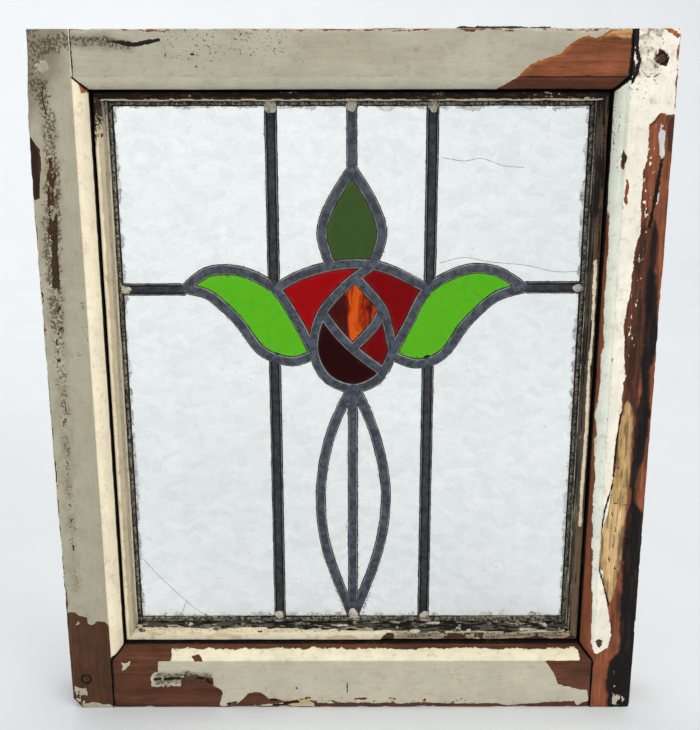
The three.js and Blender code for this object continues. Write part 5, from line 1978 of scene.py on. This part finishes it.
def pane_piece(node_name, finish, grid_step, cell, depth_of_relief, seed):
    corners = front_outline(node_name)
    outline = []
    for a, b in zip(corners, np.roll(corners, -1, 0)):
        count = max(int(round(np.linalg.norm(b - a) / 2.6)), 1)
        outline += [tuple(a + (b - a) * k / count) for k in range(count)]
    low, high = corners.min(0), corners.max(0)
    gx, gz = np.meshgrid(np.arange(low[0], high[0], grid_step),
                         np.arange(low[1], high[1], grid_step))
    maker = np.random.default_rng(seed)
    gx = gx + (np.arange(gx.shape[0])[:, None] % 2) * grid_step / 2
    gx = gx + maker.uniform(-0.12, 0.12, gx.shape) * grid_step
    gz = gz + maker.uniform(-0.12, 0.12, gz.shape) * grid_step
    inside = within(gx, gz, corners) > grid_step * 0.55
    points = outline + list(zip(gx[inside].tolist(), gz[inside].tolist()))
    count = len(outline)
    ring = [(k, (k + 1) % count) for k in range(count)]
    flat, faces, front_origins = cut_sheet(points, ring, corners)
    x, z = flat.T
    away = within(x, z, corners)
    bumps, creases = crumpled(x, z, cell, 300 if cell < 12 else seed)
    sway = rough(np.stack([x, 0 * x, z], -1), 42, seed, 2)
    front = GLASS_FRONT + 0.06 + depth_of_relief * (1 - bumps) * 0.75 \
        + (sway * 0.5 + 0.5) * depth_of_relief * 0.4
    vertices = list(zip(x, front, z))
    total = len(vertices)
    back_flat, back_faces, back_origins = cut_sheet(outline, ring, corners)
    source = {}
    for new, origins in enumerate(front_origins):
        for origin in origins:
            source[origin] = new
    edge_at = [source[k] for k in range(count)]
    back_at = {}
    for new, origins in enumerate(back_origins):
        px, pz = back_flat[new]
        vertices.append((px, GLASS_FRONT + 2.95, pz))
        for origin in origins:
            back_at[origin] = total + new
    area = sum(corners[k - 1][0] * corners[k][1] - corners[k][0] * corners[k - 1][1]
               for k in range(len(corners)))
    faces += [[total + i for i in reversed(face)] for face in back_faces]
    for a, b in ring:
        quad = [edge_at[a], back_at[a], back_at[b], edge_at[b]]
        faces.append(quad if area > 0 else quad[::-1])
    points_out = np.array(vertices)
    piece = make_piece(f"rolled_{node_name}", points_out, outward(points_out, faces),
                       [node_name], finish)
    for polygon in piece.data.polygons:
        polygon.use_smooth = True
    full_dust = np.zeros(len(points_out))
    patch = rough(np.stack([x, 0 * x, z], -1), 7, seed + 9, 3)
    dusty = (1 - smooth(3.4, 6.2, away + patch * 2.0)) * 0.50
    foot = (1 - smooth(70, 86, z + patch * 6)) * 0.62
    from_sight = np.minimum.reduce([x - ARRIS_LEFT - SIGHT, ARRIS_RIGHT - SIGHT - x,
                                    ARRIS_TOP - SIGHT - z])
    edge = (1 - smooth(4.4, 9.0, from_sight + patch * 2.4)) * 0.66
    full_dust[:total] = np.clip(np.maximum.reduce([dusty, foot, edge]), 0, 0.7)
    full_crease = np.zeros(len(points_out))
    full_crease[:total] = creases
    keep_value(piece, "dust", full_dust)
    keep_value(piece, "crease", full_crease)
    return piece


clear = glass_finish("crumple_clear_glass", (0.99, 0.995, 0.99), crease=0.05, index=1.33,
                     crinkle=0.62)
leaf_green = glass_finish("bright_green_glass", (0.115, 0.50, 0.014), crease=0.25, index=1.14)
bud_green = glass_finish("dark_green_glass", (0.050, 0.092, 0.022), crease=0.25, index=1.14)
petal_red = glass_finish("bright_red_glass", (0.36, 0.0020, 0.0035), crease=0.3, index=1.14)
petal_deep = glass_finish("deep_red_glass_finish", (0.22, 0.0012, 0.0025), crease=0.3,
                          index=1.14)
heart = glass_finish("streaky_amber_glass", (0.055, 0.005, 0.004), crease=0.15, index=1.14,
                     second=(shade(160, 40, 12), shade(236, 98, 24)))
maroon = glass_finish("maroon_glass_finish", (0.022, 0.0006, 0.0012), crease=0.15, index=1.14)
rose_red = glass_finish("rose_red_glass", (0.19, 0.0010, 0.0022), crease=0.3, index=1.14)

PANES = {f"pane_clear_{spot}": (clear, "clear_glass") for spot in (
    "top_left", "top_inner_left", "top_inner_right", "top_right", "low_left",
    "low_inner_left", "low_inner_right", "low_right", "stem_left", "stem_right")}
PANES.update({
    "pane_green_bud": (bud_green, "dark_green_glass"),
    "pane_green_leaf_left": (leaf_green, "bright_green_glass"),
    "pane_green_leaf_right": (leaf_green, "bright_green_glass"),
    "pane_red_petal_left": (petal_red, "red_glass"),
    "pane_red_petal_right": (petal_deep, "deep_red_glass"),
    "pane_amber_heart": (heart, "amber_glass"), "pane_maroon_petal": (maroon, "maroon_glass"),
    "pane_red_rose": (rose_red, "dark_red_glass"),
})
for number, (node_name, (finish, slot_name)) in enumerate(PANES.items()):
    plain = "clear" in node_name
    pane_piece(node_name, finish, 1.9 if plain else 1.5, 10.5 if plain else 15.0,
               0.34 if plain else 0.16, 301 + number)


# ---------------------------------------------------------------- floor, light and camera

# Metres here: the floor runs level, then curves up into a wall behind.
reach, rise, edge = 2.6, 1.6, 9.0
profile = [(-edge, 0.0), (reach, 0.0)] + [
    (reach + rise * math.sin(a), rise * (1 - math.cos(a)))
    for a in np.linspace(0, math.pi / 2, 24)[1:]] + [(reach + rise, edge)]
floor_mesh = bpy.data.meshes.new("floor")
floor_mesh.from_pydata([(x, y, z) for y, z in profile for x in (-14, 14)], [],
                       [(2 * k, 2 * k + 1, 2 * k + 3, 2 * k + 2)
                        for k in range(len(profile) - 1)])
for polygon in floor_mesh.polygons:
    polygon.use_smooth = True
floor = new_object("floor", floor_mesh)
floor_finish, w, body = new_finish("pale_floor")
place = w.place()
tone = w.span(w.noise(place, 3.0, 2), 0.3, 0.7)
w.join(w.mix(tone, (0.80, 0.82, 0.83, 1), (0.82, 0.84, 0.85, 1)), body.inputs["Base Color"])
body.inputs["Roughness"].default_value = 0.8
body.inputs["Specular IOR Level"].default_value = 0.1
floor.data.materials.append(floor_finish)

world = bpy.data.worlds.new("studio")
bpy.context.scene.world = world
world.use_nodes = True
world.node_tree.nodes["Background"].inputs[0].default_value = (0.985, 0.995, 1.0, 1)
world.node_tree.nodes["Background"].inputs[1].default_value = 0.935


def soft_light(name, place, target, size, watts, colour=(1, 1, 1)):
    lamp = bpy.data.lights.new(name, "AREA")
    lamp.shape = "RECTANGLE"
    lamp.size, lamp.size_y = size
    lamp.energy = watts
    lamp.color = colour
    thing = new_object(name, lamp)
    thing.location = place
    aim = Vector(target) - Vector(place)
    thing.rotation_euler = aim.to_track_quat("-Z", "Y").to_euler()


soft_light("key", (1.0, -1.5, 1.8), (0, 0, 0.35), (1.1, 0.8), 11.0, (1.0, 0.985, 0.96))
soft_light("wall", (-1.3, 1.6, 3.2), (-1.0, 4.0, 1.0), (2.0, 1.2), 26.0)

# Where the camera stands, in millimetres, and how far it looks down and leans, in degrees.
EYE_AWAY, EYE_ASIDE, EYE_HEIGHT = 826.5, -0.9, 550.0
LOOK_DOWN, LEAN = 13.83, -0.06
LENS_LONG, SENSOR_WIDE = 48.857143, 36.0

lens = bpy.data.cameras.new("camera")
lens.sensor_fit = "HORIZONTAL"
lens.sensor_width = SENSOR_WIDE
lens.lens = LENS_LONG
lens.clip_start = 0.02
camera = new_object("camera", lens)
middle = (SASH_LEFT + SASH_RIGHT) / 2
camera.location = ((middle + EYE_ASIDE) * MM, (FRONT_Y - EYE_AWAY) * MM, EYE_HEIGHT * MM)
tilt = Matrix.Rotation(math.radians(90 - LOOK_DOWN), 3, "X")
roll = Matrix.Rotation(math.radians(LEAN), 3, "Z")
camera.rotation_euler = (tilt @ roll).to_euler()
bpy.context.scene.camera = camera
bpy.context.scene.view_settings.view_transform = "Standard"
bpy.context.scene.view_settings.look = "None"

bpy.context.view_layer.update()
